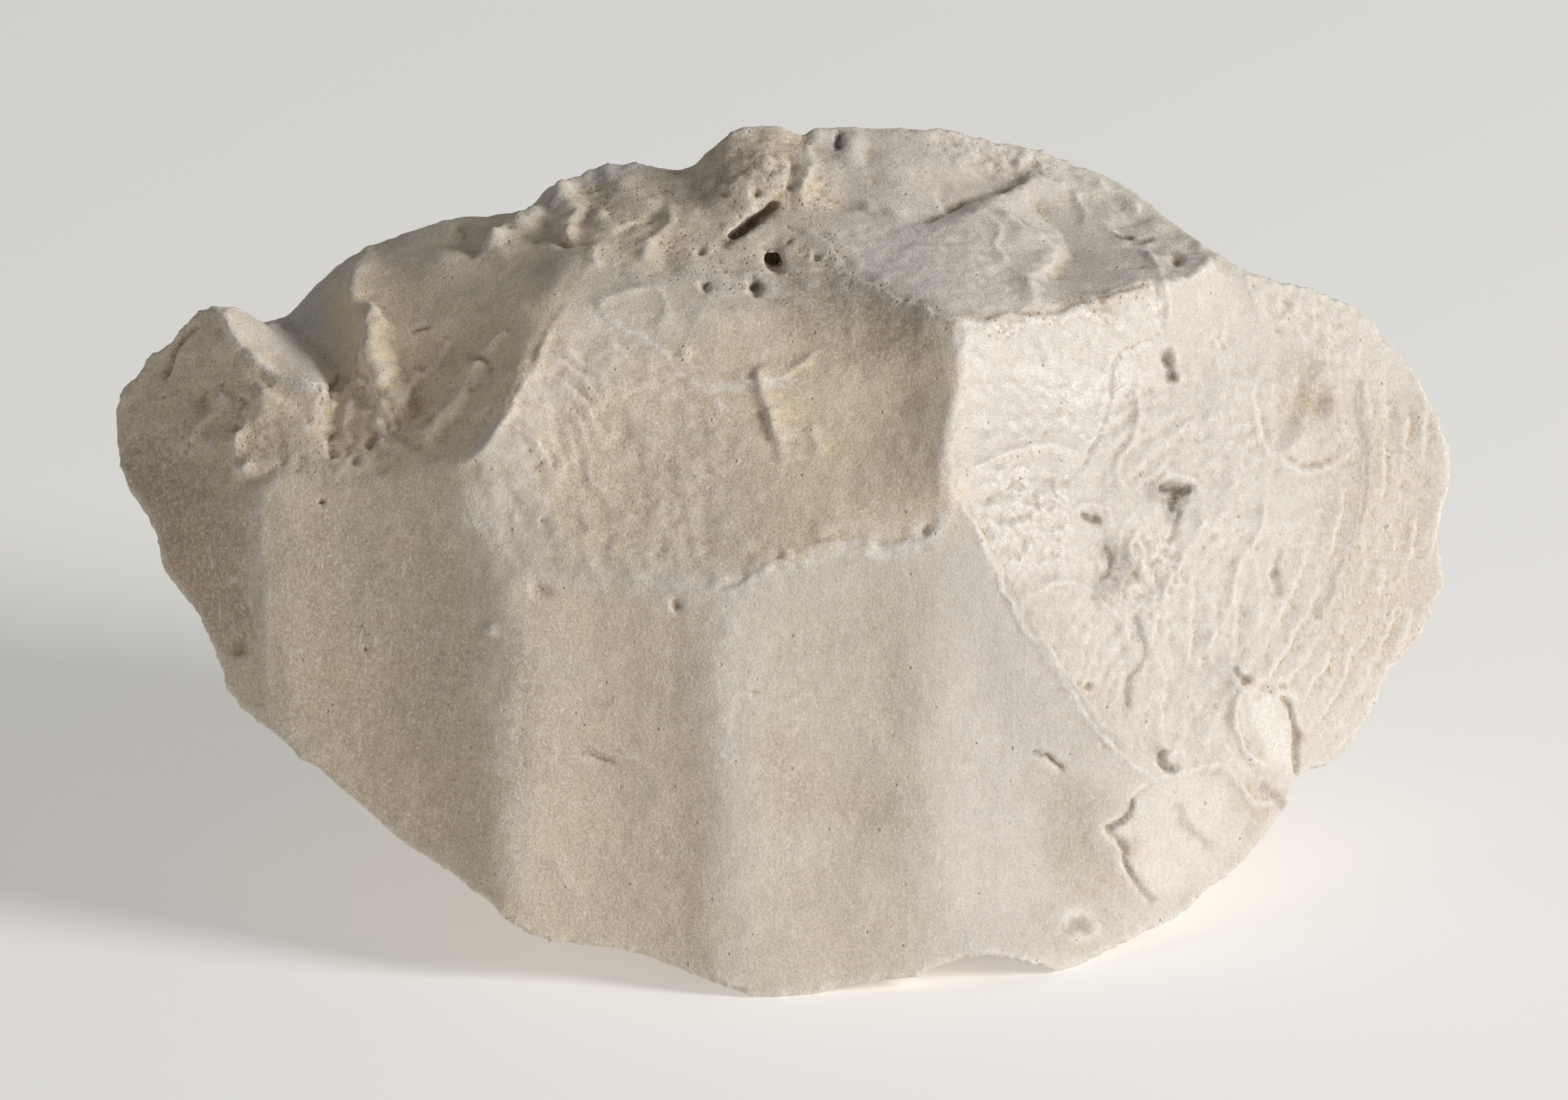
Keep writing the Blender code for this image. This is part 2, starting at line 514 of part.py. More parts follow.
def boring(name, start, end, half_width, half_height, middle):
    """A rod with round ends and an oval section, used only to cut a boring."""
    points = placed(np.array([start[:2], end[:2]], float), np.array([start[2], end[2]], float))
    start_at, end_at = (Vector(point) - middle for point in points)
    along = end_at - start_at
    out = Vector((0, -math.cos(LEAN), math.sin(LEAN)))
    mesh = bmesh.new()
    bmesh.ops.create_icosphere(mesh, subdivisions=2, radius=1)
    stretch = 0.5 * along.length / half_width
    for vertex in mesh.verts:
        vertex.co.z += stretch * (vertex.co.z > 1e-4) - stretch * (vertex.co.z < -1e-4)
    length_way = along.normalized()
    width_way = length_way.cross(out).normalized()
    height_way = length_way.cross(width_way)
    frame = Matrix((width_way * half_width, height_way * half_height, length_way * half_width))
    place = Matrix.Translation((start_at + end_at) / 2) @ frame.transposed().to_4x4()
    bmesh.ops.transform(mesh, matrix=Matrix.Scale(MM, 4) @ place, verts=mesh.verts)
    bmesh.ops.recalc_face_normals(mesh, faces=mesh.faces)
    data = bpy.data.meshes.new(name)
    mesh.to_mesh(data)
    mesh.free()
    cutter = bpy.data.objects.new(name, data)
    cutter.hide_render = True
    cutter.display_type = "WIRE"
    bpy.context.collection.objects.link(cutter)
    return cutter


def chalk_rock():
    """The whole stone, with its borings."""
    mesh = stone_mesh()
    relax(mesh)
    raise_lumps(mesh)
    cut_flat_spot(mesh)
    middle = stand_on_floor(mesh)
    data = bpy.data.meshes.new("chalk_rock")
    mesh.to_mesh(data)
    mesh.free()
    data.materials.append(chalk())
    stone = bpy.data.objects.new("chalk_rock", data)
    bpy.context.collection.objects.link(stone)
    for name, (start, end, half_width, half_height) in BORINGS.items():
        cut = stone.modifiers.new(name, "BOOLEAN")
        cut.operation = "DIFFERENCE"
        cut.solver = "EXACT"
        cut.object = boring(f"cut_{name}", start, end, half_width, half_height, middle)
    return stone


def clear_scene():
    for item in list(bpy.data.objects):
        bpy.data.objects.remove(item, do_unlink=True)


clear_scene()
chalk_rock()
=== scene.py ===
"""Chalk rock: the fine broken surface, the chalk itself and a plain studio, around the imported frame."""

import itertools
import math

import bmesh
import bpy
import numpy as np
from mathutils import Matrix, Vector


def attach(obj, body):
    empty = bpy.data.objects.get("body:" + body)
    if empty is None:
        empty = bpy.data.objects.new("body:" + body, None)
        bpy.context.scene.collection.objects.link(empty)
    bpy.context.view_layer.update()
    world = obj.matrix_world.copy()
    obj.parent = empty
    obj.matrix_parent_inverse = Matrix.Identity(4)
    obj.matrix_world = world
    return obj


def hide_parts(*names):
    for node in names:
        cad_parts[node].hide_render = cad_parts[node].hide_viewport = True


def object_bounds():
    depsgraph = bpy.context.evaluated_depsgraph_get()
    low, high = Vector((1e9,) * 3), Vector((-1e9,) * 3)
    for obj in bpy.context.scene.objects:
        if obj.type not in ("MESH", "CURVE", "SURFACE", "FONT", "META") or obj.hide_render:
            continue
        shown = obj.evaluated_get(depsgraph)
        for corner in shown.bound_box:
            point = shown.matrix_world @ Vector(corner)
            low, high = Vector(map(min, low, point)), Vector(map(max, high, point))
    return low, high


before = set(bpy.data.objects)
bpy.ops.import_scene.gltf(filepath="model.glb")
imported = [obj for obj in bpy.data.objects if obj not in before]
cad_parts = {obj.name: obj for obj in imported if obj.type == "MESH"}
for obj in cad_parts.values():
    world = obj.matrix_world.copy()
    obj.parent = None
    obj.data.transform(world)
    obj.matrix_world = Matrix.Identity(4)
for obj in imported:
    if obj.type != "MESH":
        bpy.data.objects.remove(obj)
cad_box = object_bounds()

# The picture's frame: where a point of the stone appears in it.
PICTURE_WIDTH = 2296
PICTURE_MIDDLE = (1148, 805)
PIXEL = 0.0818  # mm of stone across one pixel
STONE_COLUMN = 1148.2  # the column of the stone's middle
STONE_TOP_ROW = 184.5  # the row of its highest outline
VIEW_ELEVATION = math.radians(20)
RIGHT = np.array((1.0, 0.0, 0.0))
UP = np.array((0.0, math.sin(VIEW_ELEVATION), math.cos(VIEW_ELEVATION)))
TOWARDS = np.array((0.0, -math.cos(VIEW_ELEVATION), math.sin(VIEW_ELEVATION)))
LENS = 800.0
SENSOR = 36.0

GRAIN = 0.43  # mm between the points of the fine mesh
MOST_TRIANGLES = 196000
HIDDEN_SHARE = 0.24  # share of the triangles on the side away from the camera
INSET = 0.05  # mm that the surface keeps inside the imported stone's box

# Ridges of the broken surface: rise in mm, how far it fades in mm to the right and to the left of the
# line's own direction, then the line's points in pixels of the picture.
RIDGES = {
    "bowl rim": (0.35, 0.8, 1.6, (840, 440), (812, 486), (782, 545), (760, 580), (738, 620), (720, 650),
        (696, 674), (648, 691)),
    "knife cut": (0.8, 1.3, 3.4, (1106, 540), (1118, 575), (1130, 620), (1138, 655)),
    "knife cut end": (0.4, 0.8, 2.4, (1126, 600), (1136, 640), (1146, 684)),
    "short cut": (0.35, 0.8, 1.8, (1180, 624), (1194, 646), (1194, 672)),
    "gouge rim": (0.35, 0.4, 0.8, (1690, 512), (1704, 508), (1718, 520), (1722, 545), (1718, 566)),
    "second rim": (0.3, 0.4, 0.6, (1570, 745), (1590, 738), (1612, 742), (1622, 760)),
    "patch foot": (0.3, 0.5, 0.9, (1420, 690), (1450, 672), (1490, 662), (1540, 655), (1585, 665)),
    "upper fold": (0.4, 0.8, 1.0, (1640, 560), (1662, 590), (1655, 640), (1630, 690), (1640, 720)),
    "middle fold": (0.28, 1.8, 2.4, (1780, 640), (1800, 690), (1790, 740), (1760, 790)),
    "lower fold": (0.45, 1.0, 0.9, (1500, 880), (1540, 850), (1600, 870), (1640, 920), (1650, 980)),
    "long fold": (0.45, 1.0, 0.9, (1850, 720), (1838, 780), (1805, 840), (1790, 900), (1750, 960)),
    "cavity rim": (0.3, 0.5, 0.9, (1690, 705), (1715, 700), (1745, 706), (1752, 730)),
    "side fold": (0.6, 1.0, 1.2, (1752, 742), (1748, 780), (1725, 815), (1700, 860), (1690, 900),
        (1672, 940)),
    "knob cut lip": (0.4, 0.5, 1.4, (306, 474), (286, 502), (268, 526), (250, 560)),
    "knob fold": (1.9, 2.4, 3.6, (404, 565), (384, 596), (368, 624), (357, 675), (383, 707)),
    "knob rib": (0.8, 2.0, 1.8, (339, 576), (310, 615), (285, 653)),
    "ledge rim": (0.35, 0.7, 1.2, (337, 458), (359, 507), (395, 542), (418, 553), (455, 562), (480, 570)),
    "valley crest": (0.9, 1.8, 0.8, (530, 552), (543, 565), (560, 588), (579, 613), (584, 632)),
    "valley fold": (0.6, 1.2, 0.8, (512, 560), (518, 590), (508, 622), (514, 650)),
    "bowl crest": (1.5, 2.0, 4.4, (560, 452), (548, 469), (544, 515), (552, 548), (567, 572)),
    "long streak": (1.5, 3.2, 1.6, (712, 528), (700, 550), (685, 576), (660, 612), (634, 645), (622, 664)),
    "short streak": (0.9, 2.0, 1.2, (622, 546), (615, 558), (600, 580), (586, 598)),
    "upper streak": (0.8, 2.4, 1.4, (745, 486), (728, 506), (712, 528)),
    "bowl fold": (0.5, 2.0, 1.0, (662, 500), (645, 530), (622, 560)),
    "bowl far fold": (0.4, 2.0, 1.2, (752, 540), (735, 572), (712, 604), (690, 622)),
    "hill lump edge": (0.6, 0.9, 2.6, (543, 360), (530, 382), (521, 399), (514, 436), (522, 456)),
    "hill crest": (1.7, 1.1, 3.0, (923, 237), (903, 250), (852, 267), (825, 281), (795, 304), (757, 328),
        (727, 352), (703, 370)),
    "dark facet edge": (1.2, 5.0, 1.6, (822, 284), (832, 291), (845, 315), (838, 338), (825, 355)),
    "hill step": (0.6, 1.6, 1.2, (930, 322), (905, 340), (880, 356), (868, 378), (880, 402)),
    "hill lump": (0.6, 1.8, 1.4, (975, 300), (985, 322), (972, 346), (950, 364), (945, 392)),
    "wavy edge": (0.3, 0.6, 1.3, (870, 452), (886, 446), (909, 433), (947, 426), (977, 446), (964, 487)),
    "vein": (0.22, 0.5, 0.5, (873, 444), (906, 481), (946, 497), (979, 530), (1008, 559), (1028, 571)),
    "shell": (0.5, 0.5, 1.5, (1065, 551), (1106, 559), (1151, 555), (1176, 540), (1187, 526), (1200, 506)),
    "s bend": (1.0, 2.6, 1.3, (1464, 303), (1476, 324), (1490, 339), (1508, 347), (1534, 359), (1539, 374),
        (1529, 394), (1508, 406), (1502, 414), (1511, 432), (1520, 453)),
    "inner bend": (0.45, 1.0, 0.6, (1420, 312), (1441, 318), (1461, 333), (1464, 350), (1455, 359),
        (1458, 371), (1476, 391)),
    "middle ridge": (0.8, 1.4, 1.2, (1357, 325), (1395, 308), (1420, 300), (1458, 290), (1479, 278),
        (1502, 268), (1523, 265), (1549, 274), (1573, 280)),
    "right ridge": (0.6, 1.2, 1.0, (1573, 280), (1584, 315), (1596, 327), (1625, 336), (1637, 350),
        (1661, 359)),
    "pale strip": (0.5, 1.0, 0.9, (1663, 359), (1684, 383), (1696, 406), (1707, 435), (1710, 459),
        (1696, 479)),
    "back ridge": (0.5, 0.9, 1.2, (1564, 245), (1602, 265), (1643, 292), (1672, 315)),
    "grey crest": (0.4, 1.2, 1.2, (1675, 324), (1702, 333), (1731, 341), (1763, 368)),
    "grey foot": (0.45, 0.6, 1.0, (1702, 418), (1743, 409), (1763, 394), (1768, 371)),
    "front rim": (0.3, 0.5, 0.5, (1493, 476), (1552, 466), (1611, 463), (1631, 470), (1640, 479)),
    "far notch": (0.5, 0.8, 0.5, (1822, 405), (1825, 418), (1835, 447)),
    "knob A rib": (0.8, 1.4, 1.0, (1180, 206), (1190, 236), (1182, 262), (1172, 288)),
    "scar": (0.35, 0.5, 0.4, (1381, 715), (1418, 757), (1455, 840), (1496, 913), (1533, 966), (1575, 1029),
        (1617, 1081), (1648, 1112), (1674, 1133), (1700, 1133), (1761, 1118), (1796, 1126)),
    "patch rim": (0.4, 0.8, 0.5, (1698, 1137), (1761, 1120), (1796, 1126), (1832, 1173), (1881, 1169),
        (1863, 1218), (1841, 1245), (1814, 1271), (1779, 1294), (1738, 1320), (1720, 1356)),
    "sliver rim": (0.6, 0.8, 0.6, (1812, 1010), (1800, 1040), (1812, 1080), (1836, 1115), (1850, 1130)),
    "arc lip": (0.25, 0.7, 1.4, (1827, 560), (1836, 621), (1850, 660), (1895, 690), (1930, 690),
        (1970, 672), (1995, 640)),
    "worm": (0.35, 0.4, 0.4, (834, 1090), (858, 1086), (884, 1098), (910, 1106), (934, 1104)),
}
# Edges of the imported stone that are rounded: how much, half width in mm, then the points.
ROUNDED = {
    "first flute": (0.7, 2.4, (384, 720), (387, 800), (388, 900), (393, 1010)),
    "second flute": (1.0, 3.6, (735, 850), (744, 879), (762, 946), (755, 1030), (748, 1102), (744, 1280)),
    "third flute": (1.0, 3.0, (1066, 910), (1057, 984), (1062, 1086), (1067, 1163), (1077, 1239),
        (1060, 1350)),
    "fourth flute": (1.0, 3.0, (1360, 840), (1363, 984), (1358, 1137), (1368, 1265), (1360, 1330)),
    "bowl top": (1.0, 2.4, (850, 400), (838, 440), (812, 486), (795, 520)),
    "bowl foot": (0.8, 1.6, (690, 690), (640, 700), (590, 700)),
}
# Grooves, in the same way as the ridges.
GROOVES = {
    "knob cut": (1.1, 1.0, 0.5, (296, 472), (276, 498), (258, 522), (241, 556)),
    "knob trough": (0.8, 1.8, 1.6, (368, 584), (360, 610), (352, 640)),
    "notch": (0.9, 0.5, 0.6, (498, 546), (494, 565), (489, 586)),
    "valley hollow": (1.0, 0.9, 1.0, (490, 628), (488, 653), (494, 676)),
    "bowl pit": (0.6, 0.5, 0.5, (602, 488), (615, 484), (632, 479)),
    "hill crease": (0.5, 2.6, 1.8, (673, 325), (680, 352), (703, 369)),
    "hill shadow": (0.6, 1.0, 1.4, (747, 348), (781, 355), (808, 348), (825, 357), (859, 358), (893, 348),
        (936, 331), (977, 311)),
    "top valley": (1.0, 1.5, 1.2, (1201, 297), (1257, 306), (1321, 315), (1357, 320), (1393, 306),
        (1420, 290), (1449, 283), (1479, 272), (1499, 262)),
    "valley deep": (0.9, 1.6, 3.4, (1370, 306), (1420, 289), (1455, 278), (1505, 262)),
    "flank chip": (1.1, 2.2, 1.4, (346, 842), (360, 872), (364, 915), (352, 965)),
    "knob cleft": (1.0, 0.7, 0.7, (1230, 192), (1229, 206), (1234, 220)),
    "knob fissure": (1.1, 0.8, 0.9, (1152, 222), (1162, 250), (1156, 285)),
    "dark slit": (0.9, 0.5, 0.5, (1632, 343), (1656, 351)),
    "dark slit end": (0.8, 0.4, 0.5, (1657, 357), (1680, 353)),
    "lens slit": (0.5, 0.3, 0.4, (1619, 396), (1645, 393), (1675, 391)),
    "crack": (0.45, 0.3, 0.3, (1711, 458), (1685, 495), (1643, 516), (1627, 542), (1619, 589), (1606, 626),
        (1591, 662), (1572, 700)),
    "scar channel": (0.45, 1.0, 1.8, (1402, 722), (1438, 770), (1474, 840), (1514, 908), (1552, 962),
        (1594, 1020), (1640, 1076)),
    "arc": (0.35, 0.7, 1.0, (1838, 560), (1846, 618), (1860, 650), (1898, 678), (1930, 678), (1962, 662)),
    "cavity tail": (0.7, 0.9, 0.7, (1722, 740), (1716, 775), (1704, 800)),
    "second cavity": (0.8, 0.6, 0.6, (1582, 754), (1596, 760), (1606, 752)),
    "gritty cavity": (0.7, 0.8, 0.8, (1612, 800), (1624, 822), (1612, 846)),
    "patch crack": (0.8, 0.5, 1.2, (1698, 1135), (1662, 1164), (1645, 1196), (1618, 1209), (1640, 1236),
        (1645, 1262), (1662, 1289), (1689, 1307)),
    "sliver groove": (1.2, 0.6, 0.9, (1868, 1015), (1888, 1040), (1896, 1070), (1894, 1100), (1898, 1136)),
    "long pit": (0.8, 0.5, 0.6, (1506, 1093), (1528, 1106), (1555, 1124)),
    "worm side": (0.4, 0.4, 0.5, (840, 1100), (870, 1104), (905, 1115)),
    "notch pit": (1.4, 0.6, 0.8, (1700, 1091), (1698, 1112), (1712, 1126)),
    "side slit": (0.5, 0.25, 0.3, (1778, 490), (1784, 500), (1790, 511)),
    "lamella gap": (0.5, 0.4, 0.9, (1660, 905), (1672, 950), (1652, 990), (1645, 1040)),
}
# Scarps: the fall in mm, how far it fades in mm to the right of the line's direction, then its points.
STEPS = {
    "facet foot": (0.5, 3.6, (1385, 788), (1364, 785), (1339, 793), (1298, 800), (1237, 800), (1211, 790),
        (1160, 810), (1140, 820), (1109, 836), (1073, 861), (1038, 864), (1002, 856)),
    "left facet foot": (0.12, 2.0, (1002, 856), (900, 836), (800, 822), (752, 810), (716, 790), (681, 730)),
    "top front": (0.5, 2.2, (1700, 416), (1669, 426), (1625, 437), (1584, 449), (1537, 464), (1479, 464),
        (1455, 471), (1402, 476)),
    "top left front": (0.35, 2.0, (1397, 474), (1357, 458), (1321, 444), (1290, 422), (1250, 412),
        (1236, 392), (1208, 358), (1170, 332)),
}
# Round pits: column and row in the picture, radius and depth in mm.
PITS = (
    (795, 862, 1.5, 0.45), (992, 885, 0.8, 0.6), (546, 649, 1.2, 0.9), (528, 678, 0.8, 0.7),
    (1716, 724, 1.9, 0.7), (1593, 757, 1.2, 0.6), (1630, 815, 1.3, 0.6), (1660, 845, 0.9, 0.6),
    (1865, 838, 0.9, 0.7), (1706, 530, 1.0, 0.9), (1711, 550, 0.9, 1.0), (1593, 1002, 0.6, 0.9),
    (1876, 1005, 0.6, 0.8), (1821, 992, 0.9, 1.0), (1134, 389, 1.2, 1.0), (1107, 425, 0.9, 0.9),
    (1034, 422, 0.8, 0.8), (1028, 370, 0.7, 0.7), (1109, 284, 0.8, 0.8), (1063, 286, 0.6, 0.6),
    (476, 737, 0.4, 0.7), (542, 950, 0.35, 0.5), (1305, 985, 0.35, 0.5), (1105, 1012, 0.35, 0.5),
    (800, 764, 0.35, 0.6), (303, 588, 2.0, 0.6), (1930, 585, 2.6, 0.9), (1915, 590, 4.2, 0.8),
    (1465, 1404, 0.9, 1.0), (1573, 1352, 1.5, 0.8), (1195, 380, 0.6, 0.7), (1722, 377, 1.0, 0.8),
    (1352, 776, 0.9, 0.7),
)
# Round bumps, in the same way.
BUMPS = (
    (724, 920, 0.9, 0.35), (1569, 1352, 3.2, 0.6), (557, 624, 1.1, 0.9),
    (1150, 804, 1.0, 0.4), (1250, 222, 2.0, 0.8), (1196, 200, 1.4, 0.6), (1120, 236, 1.6, 0.8),
    (1172, 282, 1.0, 0.7), (875, 318, 1.4, 0.7), (1000, 520, 1.0, 0.4), (758, 758, 0.8, 0.3),
    (1450, 740, 0.9, 0.4), (1490, 720, 1.0, 0.45), (1470, 775, 1.1, 0.5), (1520, 745, 0.9, 0.4),
    (1505, 800, 1.0, 0.4), (1545, 780, 0.8, 0.35),
)
# Outlines that are used twice.
RIGHT_FACE = ((1640, 560), (1740, 440), (1960, 460), (2080, 600), (2100, 900), (1950, 1080), (1720, 1120),
    (1560, 1000), (1440, 800))
KNOB_FACE = ((180, 600), (330, 470), (470, 590), (470, 690), (240, 690))
# Rough areas: height and size of their lumps in mm, soft border in pixels, then the outline.
ROUGH = {
    "popcorn": (0.26, 2.0, 25, (1410, 690), (1480, 672), (1560, 700), (1585, 760), (1560, 830), (1490, 850),
        (1440, 800)),
    "grit": (0.30, 1.2, 20, (1600, 770), (1700, 780), (1740, 850), (1690, 900), (1600, 880)),
    "right face": (0.10, 2.6, 40, *RIGHT_FACE),
    "knob A": (0.50, 4.6, 25, (1020, 250), (1060, 190), (1180, 190), (1210, 300), (1100, 315), (1030, 300)),
    "hole field": (0.24, 3.4, 25, (960, 340), (1060, 330), (1150, 330), (1250, 390), (1200, 440),
        (1080, 450), (960, 430)),
    "hill top": (0.32, 4.0, 25, (840, 275), (900, 250), (1040, 250), (1080, 310), (960, 340), (860, 340)),
    "hill lumps": (0.24, 4.6, 25, (880, 320), (1010, 300), (1030, 380), (960, 420), (880, 400)),
    "upper back": (0.20, 4.2, 30, (1190, 200), (1440, 200), (1540, 235), (1500, 262), (1400, 305),
        (1210, 290)),
    "upper edge": (0.40, 1.5, 20, (1360, 190), (1440, 200), (1540, 230), (1520, 262), (1430, 250),
        (1370, 225)),
    "far top": (0.34, 3.6, 25, (1540, 235), (1670, 290), (1780, 375), (1760, 410), (1690, 400),
        (1590, 320)),
    "far right edge": (0.25, 1.6, 25, (1830, 415), (1900, 425), (1990, 470), (1960, 500), (1850, 470)),
    "facet left skin": (0.22, 2.8, 40, (680, 640), (800, 500), (900, 480), (1080, 600), (1060, 860),
        (900, 850), (760, 800)),
    "facet skin": (0.06, 2.2, 40, (680, 700), (850, 390), (1200, 350), (1390, 470), (1390, 700),
        (1340, 790), (1050, 850), (720, 790)),
    "lower right": (0.15, 2.6, 30, (1640, 880), (1880, 860), (1900, 1010), (1860, 1150), (1700, 1130),
        (1600, 1010)),
    "left knob": (0.26, 4.4, 25, (175, 600), (225, 525), (330, 455), (480, 570), (470, 690), (200, 700)),
    "smooth patch": (0.13, 1.6, 25, (1410, 490), (1500, 480), (1700, 440), (1640, 560), (1590, 660),
        (1410, 650)),
    "grey plane": (0.12, 1.7, 25, (1200, 340), (1330, 322), (1450, 330), (1500, 450), (1400, 462),
        (1260, 405)),
    "right face grain": (0.07, 1.2, 40, *RIGHT_FACE),
    "valley skin": (0.55, 4.2, 20, (470, 560), (560, 545), (600, 640), (570, 700), (470, 700)),
}
# Areas dotted with small pits: how deep, in mm, then the border and the outline as above.
PITTED = {
    "hill": (0.35, 30, (840, 270), (925, 240), (1180, 190), (1210, 300), (1250, 400), (1100, 450),
        (960, 430), (880, 400)),
    "crest": (0.35, 20, (1360, 190), (1440, 200), (1560, 240), (1540, 262), (1430, 250)),
    "right edge": (0.14, 30, (1900, 500), (1980, 480), (2090, 620), (2100, 880), (1960, 1060), (1830, 960),
        (1870, 780), (1950, 680)),
    "left end": (0.25, 30, (175, 600), (225, 525), (330, 455), (480, 570), (600, 640), (570, 700),
        (200, 700)),
    "facet pores": (0.14, 50, (800, 560), (950, 560), (1010, 700), (960, 800), (800, 760)),
    "front sill": (0.40, 12, (1150, 330), (1210, 345), (1260, 400), (1400, 455), (1560, 445), (1700, 405),
        (1705, 440), (1560, 475), (1400, 492), (1240, 425), (1160, 360)),
}
# Streaked areas: height in mm, climb to the right in degrees, length and width in mm, then a number for the
# chance draw, the border and the outline.
STREAKS = {
    "fan": (0.32, 38, 10.0, 2.3, 75, 50, (1590, 560), (1700, 480), (1840, 540), (1860, 700), (1840, 860),
        (1640, 860)),
    "lower fan": (0.40, 66, 10.0, 2.6, 77, 40, (1470, 860), (1880, 860), (1880, 1000), (1700, 1110),
        (1600, 1000)),
    "flutes": (0.08, 84, 14.0, 3.4, 79, 60, (400, 740), (1380, 830), (1380, 1400), (700, 1400),
        (420, 1050)),
}
# Ribbed areas: height in mm, the ribs' centre, how upright they are, their spacing in pixels, a number
# for the chance draw, the border and the outline.
RIBS = {
    "right edge": (0.42, (1540, 620), 1.25, 29, 71, 40, (2010, 560), (2060, 540), (2140, 640), (2120, 900),
        (1960, 1080), (1820, 1000), (1870, 850), (1960, 720)),
    "folds": (0.32, (1250, 850), 2.6, 33, 72, 30, (1640, 860), (1850, 840), (1870, 1000), (1800, 1110),
        (1690, 1100)),
    "fingerprint": (0.40, (730, 705), 1.1, 21, 73, 20, (770, 530), (850, 505), (880, 600), (868, 705),
        (810, 700), (765, 610)),
}
# The weathered, warmer skin, partly painted warm shade on the side away from the light, and the stains, some
# of them painted shade: strength, border in pixels, then the outline.
WEATHERED_AND_WARM_SHADE = {
    "left end": (0.95, 40, (120, 500), (340, 440), (470, 580), (600, 560), (760, 560), (700, 720),
        (780, 1450), (300, 1400), (100, 800)),
    "second flute": (0.80, 60, (700, 780), (1060, 880), (1060, 1500), (720, 1450)),
    "third flute": (0.45, 60, (1060, 880), (1370, 800), (1370, 1500), (1060, 1500)),
    "facet": (0.85, 40, (760, 640), (900, 520), (1100, 440), (1390, 480), (1395, 780), (1050, 850),
        (800, 820)),
    "facet left": (0.42, 40, (640, 700), (850, 390), (1100, 440), (900, 520), (760, 640), (800, 820)),
    "bowl": (0.8, 30, (540, 440), (700, 470), (850, 400), (740, 620), (650, 690), (540, 600)),
    "hill": (0.65, 30, (500, 380), (760, 300), (1180, 180), (1240, 400), (860, 400), (540, 440)),
}
# stains, and painted shade on the left flank, in the first flute and under the top edge of the facet
STAINS_AND_SHADE = {
    "front sill": (0.75, 12, (1250, 412), (1400, 462), (1560, 448), (1700, 410), (1705, 430), (1560, 472),
        (1400, 486), (1240, 428)),
    "second ridge": (0.8, 24, (745, 900), (775, 910), (790, 1010), (785, 1130), (750, 1140), (740, 1010)),
    "third flute": (0.4, 40, (1080, 1040), (1150, 1040), (1180, 1150), (1320, 1140), (1330, 1200),
        (1100, 1180)),
    "facet middle": (0.25, 60, (880, 600), (1060, 560), (1100, 700), (900, 760)),
    "right hollow": (0.6, 26, (1885, 505), (1945, 515), (1945, 605), (1895, 650), (1868, 610)),
    "far edge": (0.4, 50, (1940, 560), (2080, 600), (2110, 800), (2080, 950), (1940, 1060), (1900, 900)),
    "first flute": (0.4, 60, (390, 740), (700, 800), (730, 1330), (560, 1250), (395, 1050)),
    "flank": (1.0, 40, (160, 620), (330, 700), (375, 760), (375, 960), (300, 960), (200, 760)),
    "knob": (0.3, 30, *KNOB_FACE),
    "knob A": (0.75, 25, (1040, 200), (1180, 190), (1200, 300), (1040, 300)),
    "upper back": (0.25, 25, (1200, 200), (1500, 240), (1480, 270), (1380, 300), (1210, 290)),
    "around the patch": (0.5, 30, (1520, 1140), (1610, 1150), (1650, 1230), (1640, 1300), (1590, 1320),
        (1530, 1260)),
    "patch edge": (0.4, 16, (1820, 1140), (1875, 1150), (1860, 1225), (1800, 1280), (1790, 1240)),
    "beside the scar": (0.3, 20, (1470, 850), (1510, 860), (1620, 1000), (1700, 1110), (1640, 1070),
        (1540, 950)),
    "foot": (0.35, 16, (1500, 1330), (1540, 1310), (1630, 1320), (1640, 1390), (1560, 1405), (1500, 1390)),
    "facet top": (0.75, 40, (1150, 380), (1250, 420), (1390, 480), (1390, 540), (1150, 500)),
}
